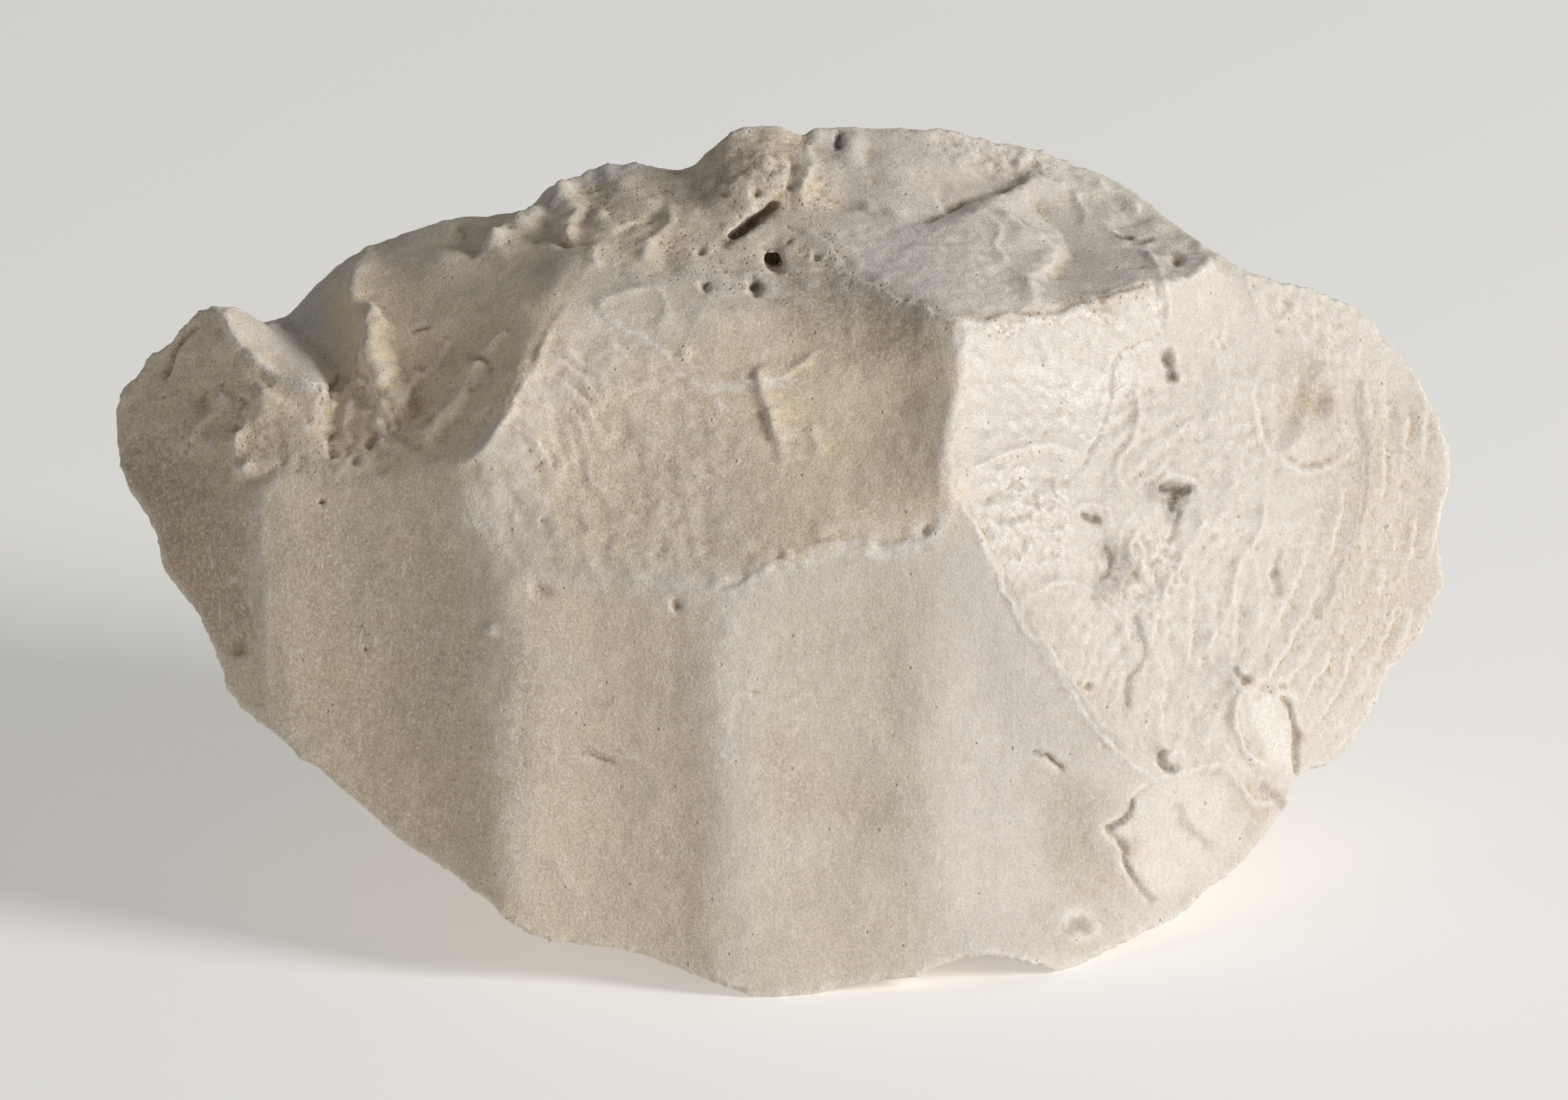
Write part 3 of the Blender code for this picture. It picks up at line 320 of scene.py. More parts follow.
# Painted shade in the borings, slits and folds and along the underside, with dirt in some of them: strength,
# half width in mm, then the points.
DARK_HOLLOWS = {
    "slot": (0.95, 0.65, (1063, 360), (1082, 345), (1100, 331)),
    "slot end": (0.6, 0.5, (1100, 331), (1116, 319)),
    "upper hole": (0.9, 0.5, (1132, 390), (1137, 388)),
    "lower hole": (0.85, 0.45, (1106, 426), (1109, 423)),
    "side hole": (0.7, 0.4, (1033, 423), (1036, 421)),
    "cavity": (0.95, 0.5, (1696, 717), (1716, 719), (1736, 716)),
    "cavity tail": (0.85, 0.4, (1716, 722), (1712, 745)),
    "cavity dust": (0.35, 1.3, (1690, 716), (1716, 726), (1712, 750)),
    "second cavity": (0.6, 0.35, (1584, 755), (1602, 757)),
    "gritty cavity": (0.7, 0.35, (1614, 800), (1622, 822), (1612, 846)),
    "gritty dust": (0.35, 1.6, (1620, 800), (1640, 830), (1612, 860)),
    "knob cleft": (0.8, 0.4, (1230, 195), (1229, 206), (1233, 217)),
    "dark slit": (0.8, 0.4, (1634, 344), (1655, 350)),
    "dark slit end": (0.6, 0.4, (1660, 357), (1684, 352)),
    "valley deep": (0.25, 1.6, (1395, 294), (1440, 284), (1500, 266)),
    "gouge": (0.5, 0.6, (1704, 522), (1710, 548)),
    "patch crack": (0.7, 0.45, (1655, 1170), (1643, 1196), (1626, 1208)),
    "patch edge": (0.4, 0.4, (1640, 1225), (1646, 1262), (1662, 1289), (1689, 1309)),
    "gully": (0.5, 0.6, (1695, 1095), (1700, 1112), (1712, 1124)),
    "sliver gap": (0.4, 0.4, (1880, 1030), (1894, 1060), (1894, 1100), (1898, 1132)),
    "fold pit": (0.6, 0.5, (1808, 978), (1820, 992)),
    "fold dirt": (0.35, 0.5, (1660, 905), (1672, 950), (1652, 990), (1645, 1040)),
    "upright dirt": (0.4, 0.5, (1872, 812), (1866, 840), (1870, 866)),
    "outer dirt": (0.3, 0.5, (1988, 560), (1985, 600), (1998, 660), (1990, 740), (1960, 830), (1925, 900)),
    "scoop dirt": (0.3, 0.9, (1925, 535), (1905, 570), (1895, 610), (1880, 650)),
    "scar dirt": (0.3, 0.4, (1470, 850), (1512, 925), (1552, 985), (1600, 1050), (1640, 1090)),
    "patch spots": (0.35, 0.45, (1722, 1176), (1738, 1212), (1762, 1234)),
    "patch far spots": (0.4, 0.5, (1846, 1150), (1868, 1168), (1878, 1182)),
    "underside": (0.5, 0.7, (1445, 1402), (1470, 1408), (1490, 1412)),
    "fossil dirt": (0.4, 0.9, (1562, 1356), (1578, 1344), (1590, 1352)),
    "long pit": (0.45, 0.35, (1512, 1097), (1530, 1107), (1550, 1121)),
    "valley pits": (0.4, 0.5, (489, 570), (488, 590)),
}
# Whitish crumbs along edges and lines, with painted highlights on the lit rims of the facet foot, the scar
# and the front: strength, half width in mm, then the points.
PALE_LINES = {
    "scar": (0.7, 0.35, *RIDGES["scar"][3:12]),
    "vein": (0.8, 0.6, *RIDGES["vein"][3:], (1106, 562), (1151, 558)),
    "strip": (1.0, 0.6, (1690, 420), (1696, 450), (1690, 485)),
    "front rim": (1.0, 0.5, (1400, 484), (1493, 478), (1552, 468), (1611, 465), (1640, 479)),
    "corner rim": (0.7, 0.6, (1404, 494), (1406, 565), (1388, 640), (1380, 716)),
    "hill crest": (1.0, 0.5, (923, 240), (852, 270), (795, 306), (757, 330), (703, 372)),
    "ledge": (0.8, 0.7, (337, 462), (362, 512), (398, 546), (455, 566), (480, 574)),
    "facet foot": (0.9, 0.9, (1388, 745), (1345, 796), (1240, 806), (1165, 818), (1110, 842), (1072, 868)),
    "facet foot left": (0.35, 1.3, (1072, 868), (1002, 866), (880, 850), (760, 830), (690, 745)),
    "first flute": (0.45, 1.2, (385, 740), (388, 800), (388, 860)),
    "second flute": (0.3, 1.4, (748, 850), (765, 960), (760, 1100), (765, 1260)),
    "third flute": (0.5, 1.4, (1078, 885), (1066, 984), (1068, 1100)),
    "bowl rim": (0.5, 0.9, (782, 545), (760, 580), (738, 620), (720, 650), (696, 676)),
}
# Whitish areas, and below them where the weathered skin is lighter and still warmer, partly painted warm
# light in the shade, both as for the stains.
PALE_AREAS = {
    "ledge": (0.4, 12, (335, 456), (420, 480), (478, 568), (400, 538)),
    "corner patch": (0.4, 12, (1658, 1160), (1700, 1140), (1761, 1128), (1800, 1140), (1830, 1185),
        (1790, 1262), (1735, 1305), (1690, 1312), (1658, 1280), (1645, 1215)),
    "fossil": (0.6, 8, (1530, 1340), (1560, 1322), (1600, 1325), (1622, 1350), (1600, 1378), (1555, 1382),
        (1530, 1365)),
    "sliver": (0.7, 10, (1812, 1015), (1850, 1020), (1880, 1060), (1885, 1110), (1850, 1120), (1825, 1080)),
    "top left": (0.5, 25, (1190, 335), (1330, 322), (1450, 330), (1500, 450), (1400, 462), (1260, 405)),
    "smooth patch": (0.2, 30, (1405, 490), (1500, 480), (1700, 440), (1640, 560), (1590, 660), (1410, 640)),
}
TAN_SKIN_AND_WARM_SHADE_AREAS = {
    "knob": (0.5, 30, *KNOB_FACE),
    "bowl": (1.0, 40, (500, 400), (700, 420), (850, 400), (760, 600), (650, 700), (480, 700), (470, 600)),
    "facet right": (0.5, 50, (1080, 560), (1300, 480), (1400, 500), (1395, 760), (1150, 800)),
    "hill": (0.35, 30, (500, 380), (760, 300), (960, 240), (1000, 400), (860, 400), (540, 440)),
}
# Where the fresh chalk is dense and takes a faint shine, in the same way.
WAXY = {
    "smooth patch": (1.0, 40, (1405, 490), (1560, 475), (1690, 440), (1700, 560), (1600, 690), (1580, 830),
        (1480, 850), (1400, 720)),
    "right face": (0.4, 60, (1600, 560), (1850, 480), (1900, 800), (1700, 1000), (1560, 900)),
}


# The shape of noise and marks.
CLOUD_GAIN = 1.7  # brings the noise to about -1..1
SCRAMBLE = (374761393, 668265263, 1440670441, 1013904223)  # large odd numbers for x, y, z and the seed
STIR = (1274126177, 1911520717)  # and two more that mix them
SMALLEST_PIT = 0.35  # share of the largest pit's radius
CURVE_STEP = 6.0  # pixels between the points of a drawn line
LINE_TAPER = 0.12  # share of a line's length over which each end fades out
LINE_REACH = 1.3  # how many times its fade a ridge or groove is worked out to
LIP = 0.6  # mm over which a scarp falls
RIB_CREST = 0.75  # share of a rib's width at which it is highest
FOOT = 1.5  # mm above the floor over which the relief sets in
SEEN_FROM = 0.02  # how far a face has to turn towards the camera to count as seen


def along_axis(points, axis):
    return points[:, 0] * axis[0] + points[:, 1] * axis[1] + points[:, 2] * axis[2]


def along_each(vectors, directions):
    return (vectors * directions).sum(axis=1)


def length_of(vectors):
    return np.sqrt((vectors**2).sum(axis=1))


def eased(share):
    """From 0 to 1 with a soft start and end."""
    share = np.clip(share, 0, 1)
    return share * share * (3 - 2 * share)


def read(items, name, width, kind=float):
    flat = np.empty(len(items) * width, dtype=kind)
    items.foreach_get(name, flat)
    return flat.reshape(-1, width)


def points_of(mesh):
    """The mesh's points in mm."""
    return read(mesh.vertices, "co", 3) * 1000


def set_points(mesh, points):
    mesh.vertices.foreach_set("co", (points / 1000).ravel())
    mesh.update()


def normals_of(mesh):
    return read(mesh.vertices, "normal", 3)


def edges_of(mesh):
    """The indices of each edge's two points."""
    return read(mesh.edges, "vertices", 2, np.int64)


def spread(values, edges, rounds):
    """Values at the points, each time replaced by the mean of their neighbours' and their own."""
    count = len(values)
    first, second = edges[:, 0], edges[:, 1]
    share = 1 + np.bincount(first, minlength=count) + np.bincount(second, minlength=count)
    columns = values.reshape(count, -1).T.copy()
    for _ in range(rounds):
        for column in columns:
            total = np.bincount(first, column[second], count) + np.bincount(second, column[first], count)
            column += total
            column /= share
    return columns.T.reshape(values.shape)


def lattice_value(cells, seed):
    """A steady pseudo-random number from 0 to 1 for each whole-numbered cell."""
    mixed = sum(cells[:, axis] * SCRAMBLE[axis] for axis in range(3)) + seed * SCRAMBLE[3]
    mixed = (mixed ^ (mixed >> 13)) * STIR[0] & 0x7FFFFFFF
    mixed = (mixed ^ (mixed >> 16)) * STIR[1] & 0x7FFFFFFF
    return (mixed & 0xFFFFF) / 0xFFFFF


def cloud(points, size, seed):
    """Smooth noise from -1 to 1 with lumps about `size` mm across."""
    grid = points / size
    cells = np.floor(grid).astype(np.int64)
    inside = grid - cells
    blend = inside**3 * (inside * (inside * 6 - 15) + 10)
    total = np.zeros(len(points))
    for corner in itertools.product((0, 1), repeat=3):
        corner = np.array(corner)
        weight = np.where(corner, blend, 1 - blend).prod(axis=1)
        away = inside - corner
        slope = [lattice_value(cells + corner, seed * 3 + axis) * 2 - 1 for axis in range(3)]
        total += weight * (slope[0] * away[:, 0] + slope[1] * away[:, 1] + slope[2] * away[:, 2])
    return np.clip(total * CLOUD_GAIN, -1, 1)


def clouds(points, size, seed, octaves=3):
    """Clouds on clouds, each half the size and height of the one before."""
    return sum(cloud(points, size / 2**step, seed + step) / 2**step for step in range(octaves))


def creased(points, size, seed):
    """Lumps from 0 to 1 that meet in narrow creases."""
    return np.abs(cloud(points, size, seed))


def spots(points, size, seed):
    """The distance in mm to the nearest of spots scattered `size` mm apart, and its number from 0 to 1."""
    grid = points / size
    first = np.floor(grid - 0.5).astype(np.int64)
    best = np.full(len(points), np.inf)
    number = np.zeros(len(points))
    for corner in itertools.product((0, 1), repeat=3):
        cell = first + np.array(corner)
        place = np.stack([lattice_value(cell, seed * 5 + axis) for axis in range(3)], axis=1)
        gap = length_of(grid - cell - place)
        closer = gap < best
        best[closer] = gap[closer]
        number[closer] = lattice_value(cell, seed * 5 + 3)[closer]
    return best * size, number


def pitting(points, size, largest, seed):
    """Scattered round pits, as depths from 0 to 1; `largest` is the radius of the largest in mm."""
    gap, number = spots(points, size, seed)
    return eased(1 - gap / (largest * (SMALLEST_PIT + (1 - SMALLEST_PIT) * number)))


def smooth_line(corners):
    """A Catmull-Rom curve through the corners, as points in pixels."""
    corners = np.array(corners, float)
    padded = np.vstack((2 * corners[0] - corners[1], corners, 2 * corners[-1] - corners[-2]))
    curve = []
    for before, start, end, after in zip(padded, padded[1:], padded[2:], padded[3:]):
        steps = max(2, int(math.dist(start, end) / CURVE_STEP))
        for share in np.arange(steps) / steps:
            bend = 2 * before - 5 * start + 4 * end - after
            twist = 3 * start - before - 3 * end + after
            curve.append(start + 0.5 * share * (end - before + share * (bend + share * twist)))
    curve.append(padded[-2])
    return np.array(curve)


def along_run(places, start, end):
    """For each place: its share of the way along the run, its distance from it, its offset from start."""
    run = end - start
    offset = places - start
    part = np.clip((offset * run).sum(axis=1) / (run**2).sum(), 0, 1)
    return part, length_of(offset - part[:, None] * run), offset


def beside(places, corners, reach):
    """For the places within reach of a drawn line: their indices, distance and share along it. Reach and
    distance are in mm; the distance is positive to the right of the line, as seen in the picture."""
    line = smooth_line(corners)
    reach = reach / PIXEL
    low, high = line.min(axis=0) - reach, line.max(axis=0) + reach
    near = np.flatnonzero(((places > low) & (places < high)).all(axis=1))
    here = places[near]
    best = np.full(len(near), np.inf)
    side = np.ones(len(near))
    share = np.zeros(len(near))
    for number, (start, end) in enumerate(zip(line, line[1:])):
        run = end - start
        part, gap, offset = along_run(here, start, end)
        closer = gap < best
        best[closer] = gap[closer]
        side[closer] = np.sign(run[0] * offset[closer, 1] - run[1] * offset[closer, 0])
        share[closer] = (number + part[closer]) / (len(line) - 1)
    kept = best < reach
    return near[kept], (best * side)[kept] * PIXEL, share[kept]


def tapered(share):
    """Full along a line's middle and fading out at both ends."""
    return eased(share / LINE_TAPER) * eased((1 - share) / LINE_TAPER)


def add_lines(height, places, lines, sign, points):
    """Ridges or grooves with their own fade on each side, uneven along their length."""
    uneven = 0.75 + 0.4 * cloud(points, size=2.6, seed=31)
    for rise, right, left, *corners in lines.values():
        near, gap, share = beside(places, corners, max(right, left) * LINE_REACH)
        fade = np.where(gap > 0, gap / right, -gap / left)
        height[near] += sign * rise * tapered(share) * uneven[near] * np.exp(-np.abs(2.0 * fade) ** 1.5)


def add_steps(height, places, steps, points):
    """Scarps: a sharp fall at the line that fades out to its right."""
    uneven = eased(0.75 + 0.8 * cloud(points, size=2.4, seed=33))
    for fall, fade, *corners in steps.values():
        near, gap, share = beside(places, corners, fade)
        drop = np.where(gap > 0, eased(gap / LIP) * (1 - eased(gap / fade)), 0)
        height[near] -= fall * tapered(share) * drop * uneven[near]


def add_dots(height, places, dots, sign):
    for column, row, radius, depth in dots:
        away = length_of(places - np.array((column, row))) * PIXEL / radius
        height += sign * depth * (1 - eased(away / 1.2))


def near_lines(places, lines):
    """1 on the lines and 0 away from them."""
    mask = np.zeros(len(places))
    for strength, half_width, *corners in lines.values():
        near, gap, _ = beside(places, corners, half_width * 1.5)
        mask[near] = np.maximum(mask[near], strength * eased(1.5 - np.abs(gap) / half_width))
    return mask


def inside_of(places, outline, border):
    """1 inside the outline and 0 outside, with a soft border in pixels."""
    outline = np.array(outline, float)
    closed = np.vstack((outline, outline[:1]))
    nearest = np.full(len(places), np.inf)
    inside = np.zeros(len(places), bool)
    for start, end in zip(closed, closed[1:]):
        run = end - start
        nearest = np.minimum(nearest, along_run(places, start, end)[1])
        crosses = (start[1] > places[:, 1]) != (end[1] > places[:, 1])
        rise = run[1] if run[1] else 1.0
        inside ^= crosses & (places[:, 0] < start[0] + run[0] * (places[:, 1] - start[1]) / rise)
    return eased(0.5 + np.where(inside, nearest, -nearest) / (2 * border))


def in_areas(places, areas):
    """The strength of the strongest area at each place."""
    mask = np.zeros(len(places))
    for strength, border, *outline in areas.values():
        mask = np.maximum(mask, strength * inside_of(places, outline, border))
    return mask


def ribs(places, centre, stretch, spacing):
    """Shell-like ribs round a centre: from 0 to 1, rising outwards and then dropping sharply."""
    away = (places - np.array(centre)) / np.array((1.0, stretch))
    turns = length_of(away) / spacing
    share = turns - np.floor(turns)
    return np.where(share < RIB_CREST, share / RIB_CREST, (1 - share) / (1 - RIB_CREST))


def streaks(places, climb, length, width, seed):
    """Noise from -1 to 1, drawn out along a line that climbs by some degrees to the right; sizes in mm."""
    turn = math.radians(climb)
    along = places[:, 0] * math.cos(turn) - places[:, 1] * math.sin(turn)
    across = places[:, 0] * math.sin(turn) + places[:, 1] * math.cos(turn)
    flat = np.stack((along * PIXEL / length, across * PIXEL / width, np.zeros(len(places))), axis=1)
    return cloud(flat, 1.0, seed) + 0.5 * cloud(flat * 2, 1.0, seed + 1)


def strayed(places, points, size, seeds, pixels):
    """The places, shifted here and there, so that drawn lines and borders break as stone does."""
    return places + np.stack([clouds(points, size, seed) for seed in seeds], axis=1) * pixels


def wandering(points, places):
    return strayed(places, points, size=3.6, seeds=(11, 12), pixels=5.0)


def places_in_picture(points, top):
    """Column and row of each point."""
    columns = STONE_COLUMN + along_axis(points, RIGHT) / PIXEL
    rows = STONE_TOP_ROW + (top - along_axis(points, UP)) / PIXEL
    return np.stack((columns, rows), axis=1)


def add_areas(height, places, points):
    """Roughness, small pits, streaks and ribs, each in its own areas."""
    for number, (rise, size, border, *outline) in enumerate(ROUGH.values()):
        lumps = clouds(points, size, seed=20 + number) - 0.8 * creased(points, size * 1.3, seed=50 + number)
        height += inside_of(places, outline, border) * rise * lumps
    height += near_lines(places, PALE_LINES) * 0.16 * clouds(points, size=1.7, seed=97)
    pits = pitting(points, size=2.5, largest=0.8, seed=61)
    pits += 0.6 * pitting(points, size=1.5, largest=0.5, seed=62)
    for depth, border, *outline in PITTED.values():
        height -= inside_of(places, outline, border) * depth * pits
    for rise, climb, length, width, seed, border, *outline in STREAKS.values():
        patchy = eased(0.6 + cloud(points, 8, seed + 20))
        streaked = np.abs(streaks(places, climb, length, width, seed)) * patchy
        height += inside_of(places, outline, border) * rise * streaked
    for rise, centre, stretch, spacing, seed, border, *outline in RIBS.values():
        ribbed = ribs(places, centre, stretch, spacing) * eased(0.5 + cloud(points, 7, seed))
        height += inside_of(places, outline, border) * rise * ribbed


def front_relief(points, places):
    """Height in mm of the named marks of the side in the picture."""
    places = wandering(points, places)
    height = np.zeros(len(points))
    add_lines(height, places, RIDGES, 1, points)
    add_lines(height, places, GROOVES, -1, points)
    add_steps(height, places, STEPS, points)
    add_dots(height, places, PITS, -1)
    add_dots(height, places, BUMPS, 1)
    add_areas(height, places, points)
    return height


def side_relief(points):
    """Height in mm where the picture doesn't reach: flakes, chips and pits."""
    flakes = creased(points, size=16.0, seed=81) * 1.0 - creased(points, size=7.0, seed=83) * 0.3
    pits = pitting(points, size=3.1, largest=0.9, seed=84) * eased(cloud(points, size=18, seed=85) * 2)
    chips = 0.22 * creased(points, size=3.2, seed=87)
    return flakes + 0.20 * clouds(points, size=4.0, seed=86) + chips - 0.4 * pits - 0.35


def overall_relief(points):
    """Height in mm of what covers the whole stone: faint waves and crumbs."""
    return 0.12 * clouds(points, size=7.0, seed=91) + 0.05 * cloud(points, size=1.1, seed=95)


def crumbling(points, mesh, edges):
    """Height in mm that the sharp edges have lost, unevenly."""
    normals = spread(normals_of(mesh), edges, rounds=2)
    proud = along_each(points - spread(points, edges, rounds=6), normals)
    worn = eased((proud - 0.03) / 0.15)
    crumbs = 0.40 * creased(points, size=2.0, seed=101) + 0.16 * cloud(points, size=0.9, seed=102)
    return worn * (crumbs + 0.05)


def soften(mesh, top):
    """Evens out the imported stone's flat facets; its edges stay sharp, except for the rounded ones."""
    points = points_of(mesh)
    edges = edges_of(mesh)
    agreement = length_of(spread(normals_of(mesh), edges, rounds=4))
    sharp = spread(eased((1 - agreement - 0.002) / 0.008), edges, rounds=2)[:, None]
    rounded = near_lines(places_in_picture(points, top), ROUNDED)[:, None]
    even = spread(points, edges, rounds=14)
    even += rounded * (spread(even, edges, rounds=60) - even)
    set_points(mesh, even + sharp * (1 - rounded) * (spread(points, edges, rounds=2) - even))


def put(name, data):
    """A new object in the scene."""
    thing = bpy.data.objects.new(name, data)
    bpy.context.scene.collection.objects.link(thing)
    return thing


def apply_modifiers(stone):
    graph = bpy.context.evaluated_depsgraph_get()
    fine = bpy.data.meshes.new_from_object(stone.evaluated_get(graph))
    stone.modifiers.clear()
    stone.data = fine


def fine_copy(node):
    """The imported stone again, as an even mesh fine enough for its broken surface."""
    mesh = node.data.copy()
    shell = bmesh.new()
    shell.from_mesh(mesh)
    bmesh.ops.remove_doubles(shell, verts=shell.verts, dist=1e-6)
    shell.to_mesh(mesh)
    shell.free()
    stone = put("chalk_rock_surface", mesh)
    remesh = stone.modifiers.new("fine mesh", "REMESH")
    remesh.mode = "VOXEL"
    remesh.voxel_size = GRAIN / 1000
    apply_modifiers(stone)
    return stone


def carve(stone, top):
    """Raises and lowers the points by the relief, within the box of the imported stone."""
    mesh = stone.data
    soften(mesh, top)
    points = points_of(mesh)
    edges = edges_of(mesh)
    normals = spread(normals_of(mesh), edges, rounds=6)
    normals /= length_of(normals)[:, None]
    facing = eased((along_axis(normals, TOWARDS) - SEEN_FROM) / 0.25)
    height = overall_relief(points) - crumbling(points, mesh, edges)
    height += facing * front_relief(points, places_in_picture(points, top))
    height += (1 - facing) * side_relief(points)
    height *= eased(points[:, 2] / FOOT)
    moved = points + normals * height[:, None]
    low = np.array(cad_box[0]) * 1000 + (INSET, INSET, 0)
    high = np.array(cad_box[1]) * 1000 - INSET
    set_points(mesh, np.clip(moved, low, high))


def triangle_count(mesh):
    return sum(polygon.loop_total - 2 for polygon in mesh.polygons)


def thin_out(stone):
    """Fewer triangles, most of them kept on the side towards the camera."""
    mesh = stone.data
    normals = spread(normals_of(mesh), edges_of(mesh), rounds=6)
    hidden = 1 - eased((along_axis(normals, TOWARDS) + 0.25) / 0.3) > 0.5
    group = stone.vertex_groups.new(name="hidden")
    group.add(np.flatnonzero(hidden).tolist(), 1.0, "REPLACE")
    count = triangle_count(mesh)
    far_side = stone.modifiers.new("far side", "DECIMATE")
    far_side.vertex_group = "hidden"
    far_side.ratio = (count - count * float(hidden.mean()) + MOST_TRIANGLES * HIDDEN_SHARE) / count
    apply_modifiers(stone)
    whole = stone.modifiers.new("whole", "DECIMATE")
    whole.ratio = MOST_TRIANGLES / triangle_count(stone.data)
    apply_modifiers(stone)
    stone.vertex_groups.clear()


def paint(stone, top):
    """Masks from 0 to 1 on the points, for the material: from the shape itself and from the tables."""
    mesh = stone.data
    points = points_of(mesh)
    edges = edges_of(mesh)
    calm = spread(normals_of(mesh), edges, rounds=3)
    facing = eased((along_axis(calm, TOWARDS) - SEEN_FROM) / 0.2)
    proud = along_each(points - spread(points, edges, rounds=3), calm)
    wide = along_each(points - spread(points, edges, rounds=14), calm)
    places = wandering(points, places_in_picture(points, top))
    ragged = strayed(places, points, size=6.0, seeds=(111, 112), pixels=22)
    elsewhere = 0.2 + 0.6 * eased(0.5 + clouds(points, size=22.0, seed=113))
    masks = {
        "hollow": eased(np.clip(-proud / 0.12, 0, 1) * 0.8 + np.clip(-wide / 0.6 - 0.15, 0, 1) * 0.4),
        "proud": eased(proud / 0.10),
        # up-facing faces, for grey dust and a painted sky-lit tone
        "level": eased((calm[:, 2] - 0.55) / 0.35),
        # weathered skin, partly painted warm shade on the side away from the light
        "weathered_and_warm_shade": facing * in_areas(ragged, WEATHERED_AND_WARM_SHADE) + (1 - facing) * elsewhere,
        # stains, and painted shade on the flank, the first flute and the facet top
        "stains_and_shade": facing * in_areas(ragged, STAINS_AND_SHADE),
        # painted shade in the borings, slits and folds and under the edge, and dirt
        "dark": facing * near_lines(places, DARK_HOLLOWS),
        "pale": facing * in_areas(ragged, PALE_AREAS),
        # crumbs, and painted highlights along lit rims
        "crumbs_and_rim_highlights": facing * near_lines(ragged * 0.6 + places * 0.4, PALE_LINES),
        "porous": facing * np.clip(in_areas(ragged, PITTED) * 2.5, 0, 1),
        # warm beige with painted warm light in the shade
        "tan_skin_and_warm_shade": facing * in_areas(ragged, TAN_SKIN_AND_WARM_SHADE_AREAS),
        "waxy": facing * in_areas(ragged, WAXY),
    }
    for name, mask in masks.items():
        mesh.attributes.new(name, "FLOAT", "POINT").data.foreach_set("value", mask.astype(np.float32))


class Nodes:
    """Short ways to add and join the nodes of one material."""

    def __init__(self, name):
        self.material = bpy.data.materials.new(name)
        self.material.use_nodes = True
        self.tree = self.material.node_tree
        self.shader = self.tree.nodes["Principled BSDF"]

    def add(self, kind, **settings):
        node = self.tree.nodes.new(kind)
        for name, value in settings.items():
            setattr(node, name, value)
        return node

    def feed(self, socket, value):
        if isinstance(value, bpy.types.NodeSocket):
            self.tree.links.new(value, socket)
        else:
            socket.default_value = value

    def feed_named(self, node, values):
        for name, value in values.items():
            self.feed(node.inputs[name], value)

    def mask(self, name):
        return self.add("ShaderNodeAttribute", attribute_name=name).outputs["Fac"]

    def math(self, operation, value, *others):
        """The operation on the first two values, then on that and the next."""
        for other in others:
            node = self.add("ShaderNodeMath", operation=operation)
            self.feed(node.inputs[0], value)
            self.feed(node.inputs[1], other)
            value = node.outputs[0]
        return value

    def times(self, *values):
        return self.math("MULTIPLY", *values)

    def plus(self, *values):
        return self.math("ADD", *values)

    def highest(self, *values):
        return self.math("MAXIMUM", *values)

    def ramp(self, value, low, high, out_low=0.0, out_high=1.0):
        """The value, from low..high to out_low..out_high, kept within them and eased."""
        node = self.add("ShaderNodeMapRange", interpolation_type="SMOOTHSTEP")
        for socket, number in zip(node.inputs, (value, low, high, out_low, out_high)):
            self.feed(socket, number)
        return node.outputs[0]

    def place(self):
        return self.add("ShaderNodeTexCoord").outputs["Object"]

    def noise(self, size, detail=3.0, roughness=0.55, distortion=0.0):
        """Noise from 0 to 1 with lumps about `size` mm across."""
        node = self.add("ShaderNodeTexNoise")
        self.feed_named(node, {"Vector": self.place(), "Scale": 1000 / size, "Detail": detail,
                               "Roughness": roughness, "Distortion": distortion})
        return node.outputs["Fac"]

    def pores(self, size, smallest, largest):
        """1 inside round pores about `size` mm apart and 0 between them; radii as shares of that size."""
        node = self.add("ShaderNodeTexVoronoi")
        self.feed_named(node, {"Vector": self.place(), "Scale": 1000 / size})
        return self.ramp(node.outputs["Distance"], smallest, largest, 1.0, 0.0)

    def scratches(self):
        """Short thin marks, 1 on them and 0 elsewhere."""
        turned = self.add("ShaderNodeMapping")
        self.feed_named(turned, {"Vector": self.place(), "Rotation": (0.3, 0.7, 0.4),
                                 "Scale": (2500, 350, 350)})
        node = self.add("ShaderNodeTexNoise")
        self.feed_named(node, {"Vector": turned.outputs[0], "Scale": 1.0, "Detail": 0.0, "Distortion": 0.3})
        return self.ramp(node.outputs["Fac"], 0.76, 0.82)

    def mix(self, share, one, other):
        node = self.add("ShaderNodeMix", data_type="RGBA")
        for socket, value in zip((node.inputs[0], node.inputs[6], node.inputs[7]), (share, one, other)):
            self.feed(socket, value)
        return node.outputs[2]


FRESH = (0.655, 0.598, 0.535, 1)
# weathered skin, its warmth partly painted bounce light in the shade
WARM_SKIN_AND_SHADE = (0.740, 0.615, 0.450, 1)
# warm beige, and painted warm light in the shaded bowl, knob and hill
TAN_SKIN_AND_WARM_SHADE = (0.850, 0.700, 0.500, 1)
# up-facing faces: grey dust, and the painted neutral tone of sky light
LEVEL = (0.700, 0.645, 0.570, 1)
OCHRE = (0.500, 0.395, 0.275, 1)
BROWN = (0.300, 0.220, 0.150, 1)
# painted shade in the borings, slits and folds, and dirt
SHADE_AND_DIRT = (0.130, 0.100, 0.075, 1)
CREAM = (0.820, 0.775, 0.710, 1)


def chalk_pores(chalk, patches):
    """Large pores in places all over, and small ones where the stone is porous."""
    large = chalk.times(chalk.pores(1.7, 0.06, 0.15), chalk.ramp(patches, 0.52, 0.60))
    small = chalk.times(chalk.pores(1.0, 0.12, 0.26), chalk.ramp(patches, 0.44, 0.54))
    return chalk.highest(large, chalk.times(small, chalk.mask("porous")))


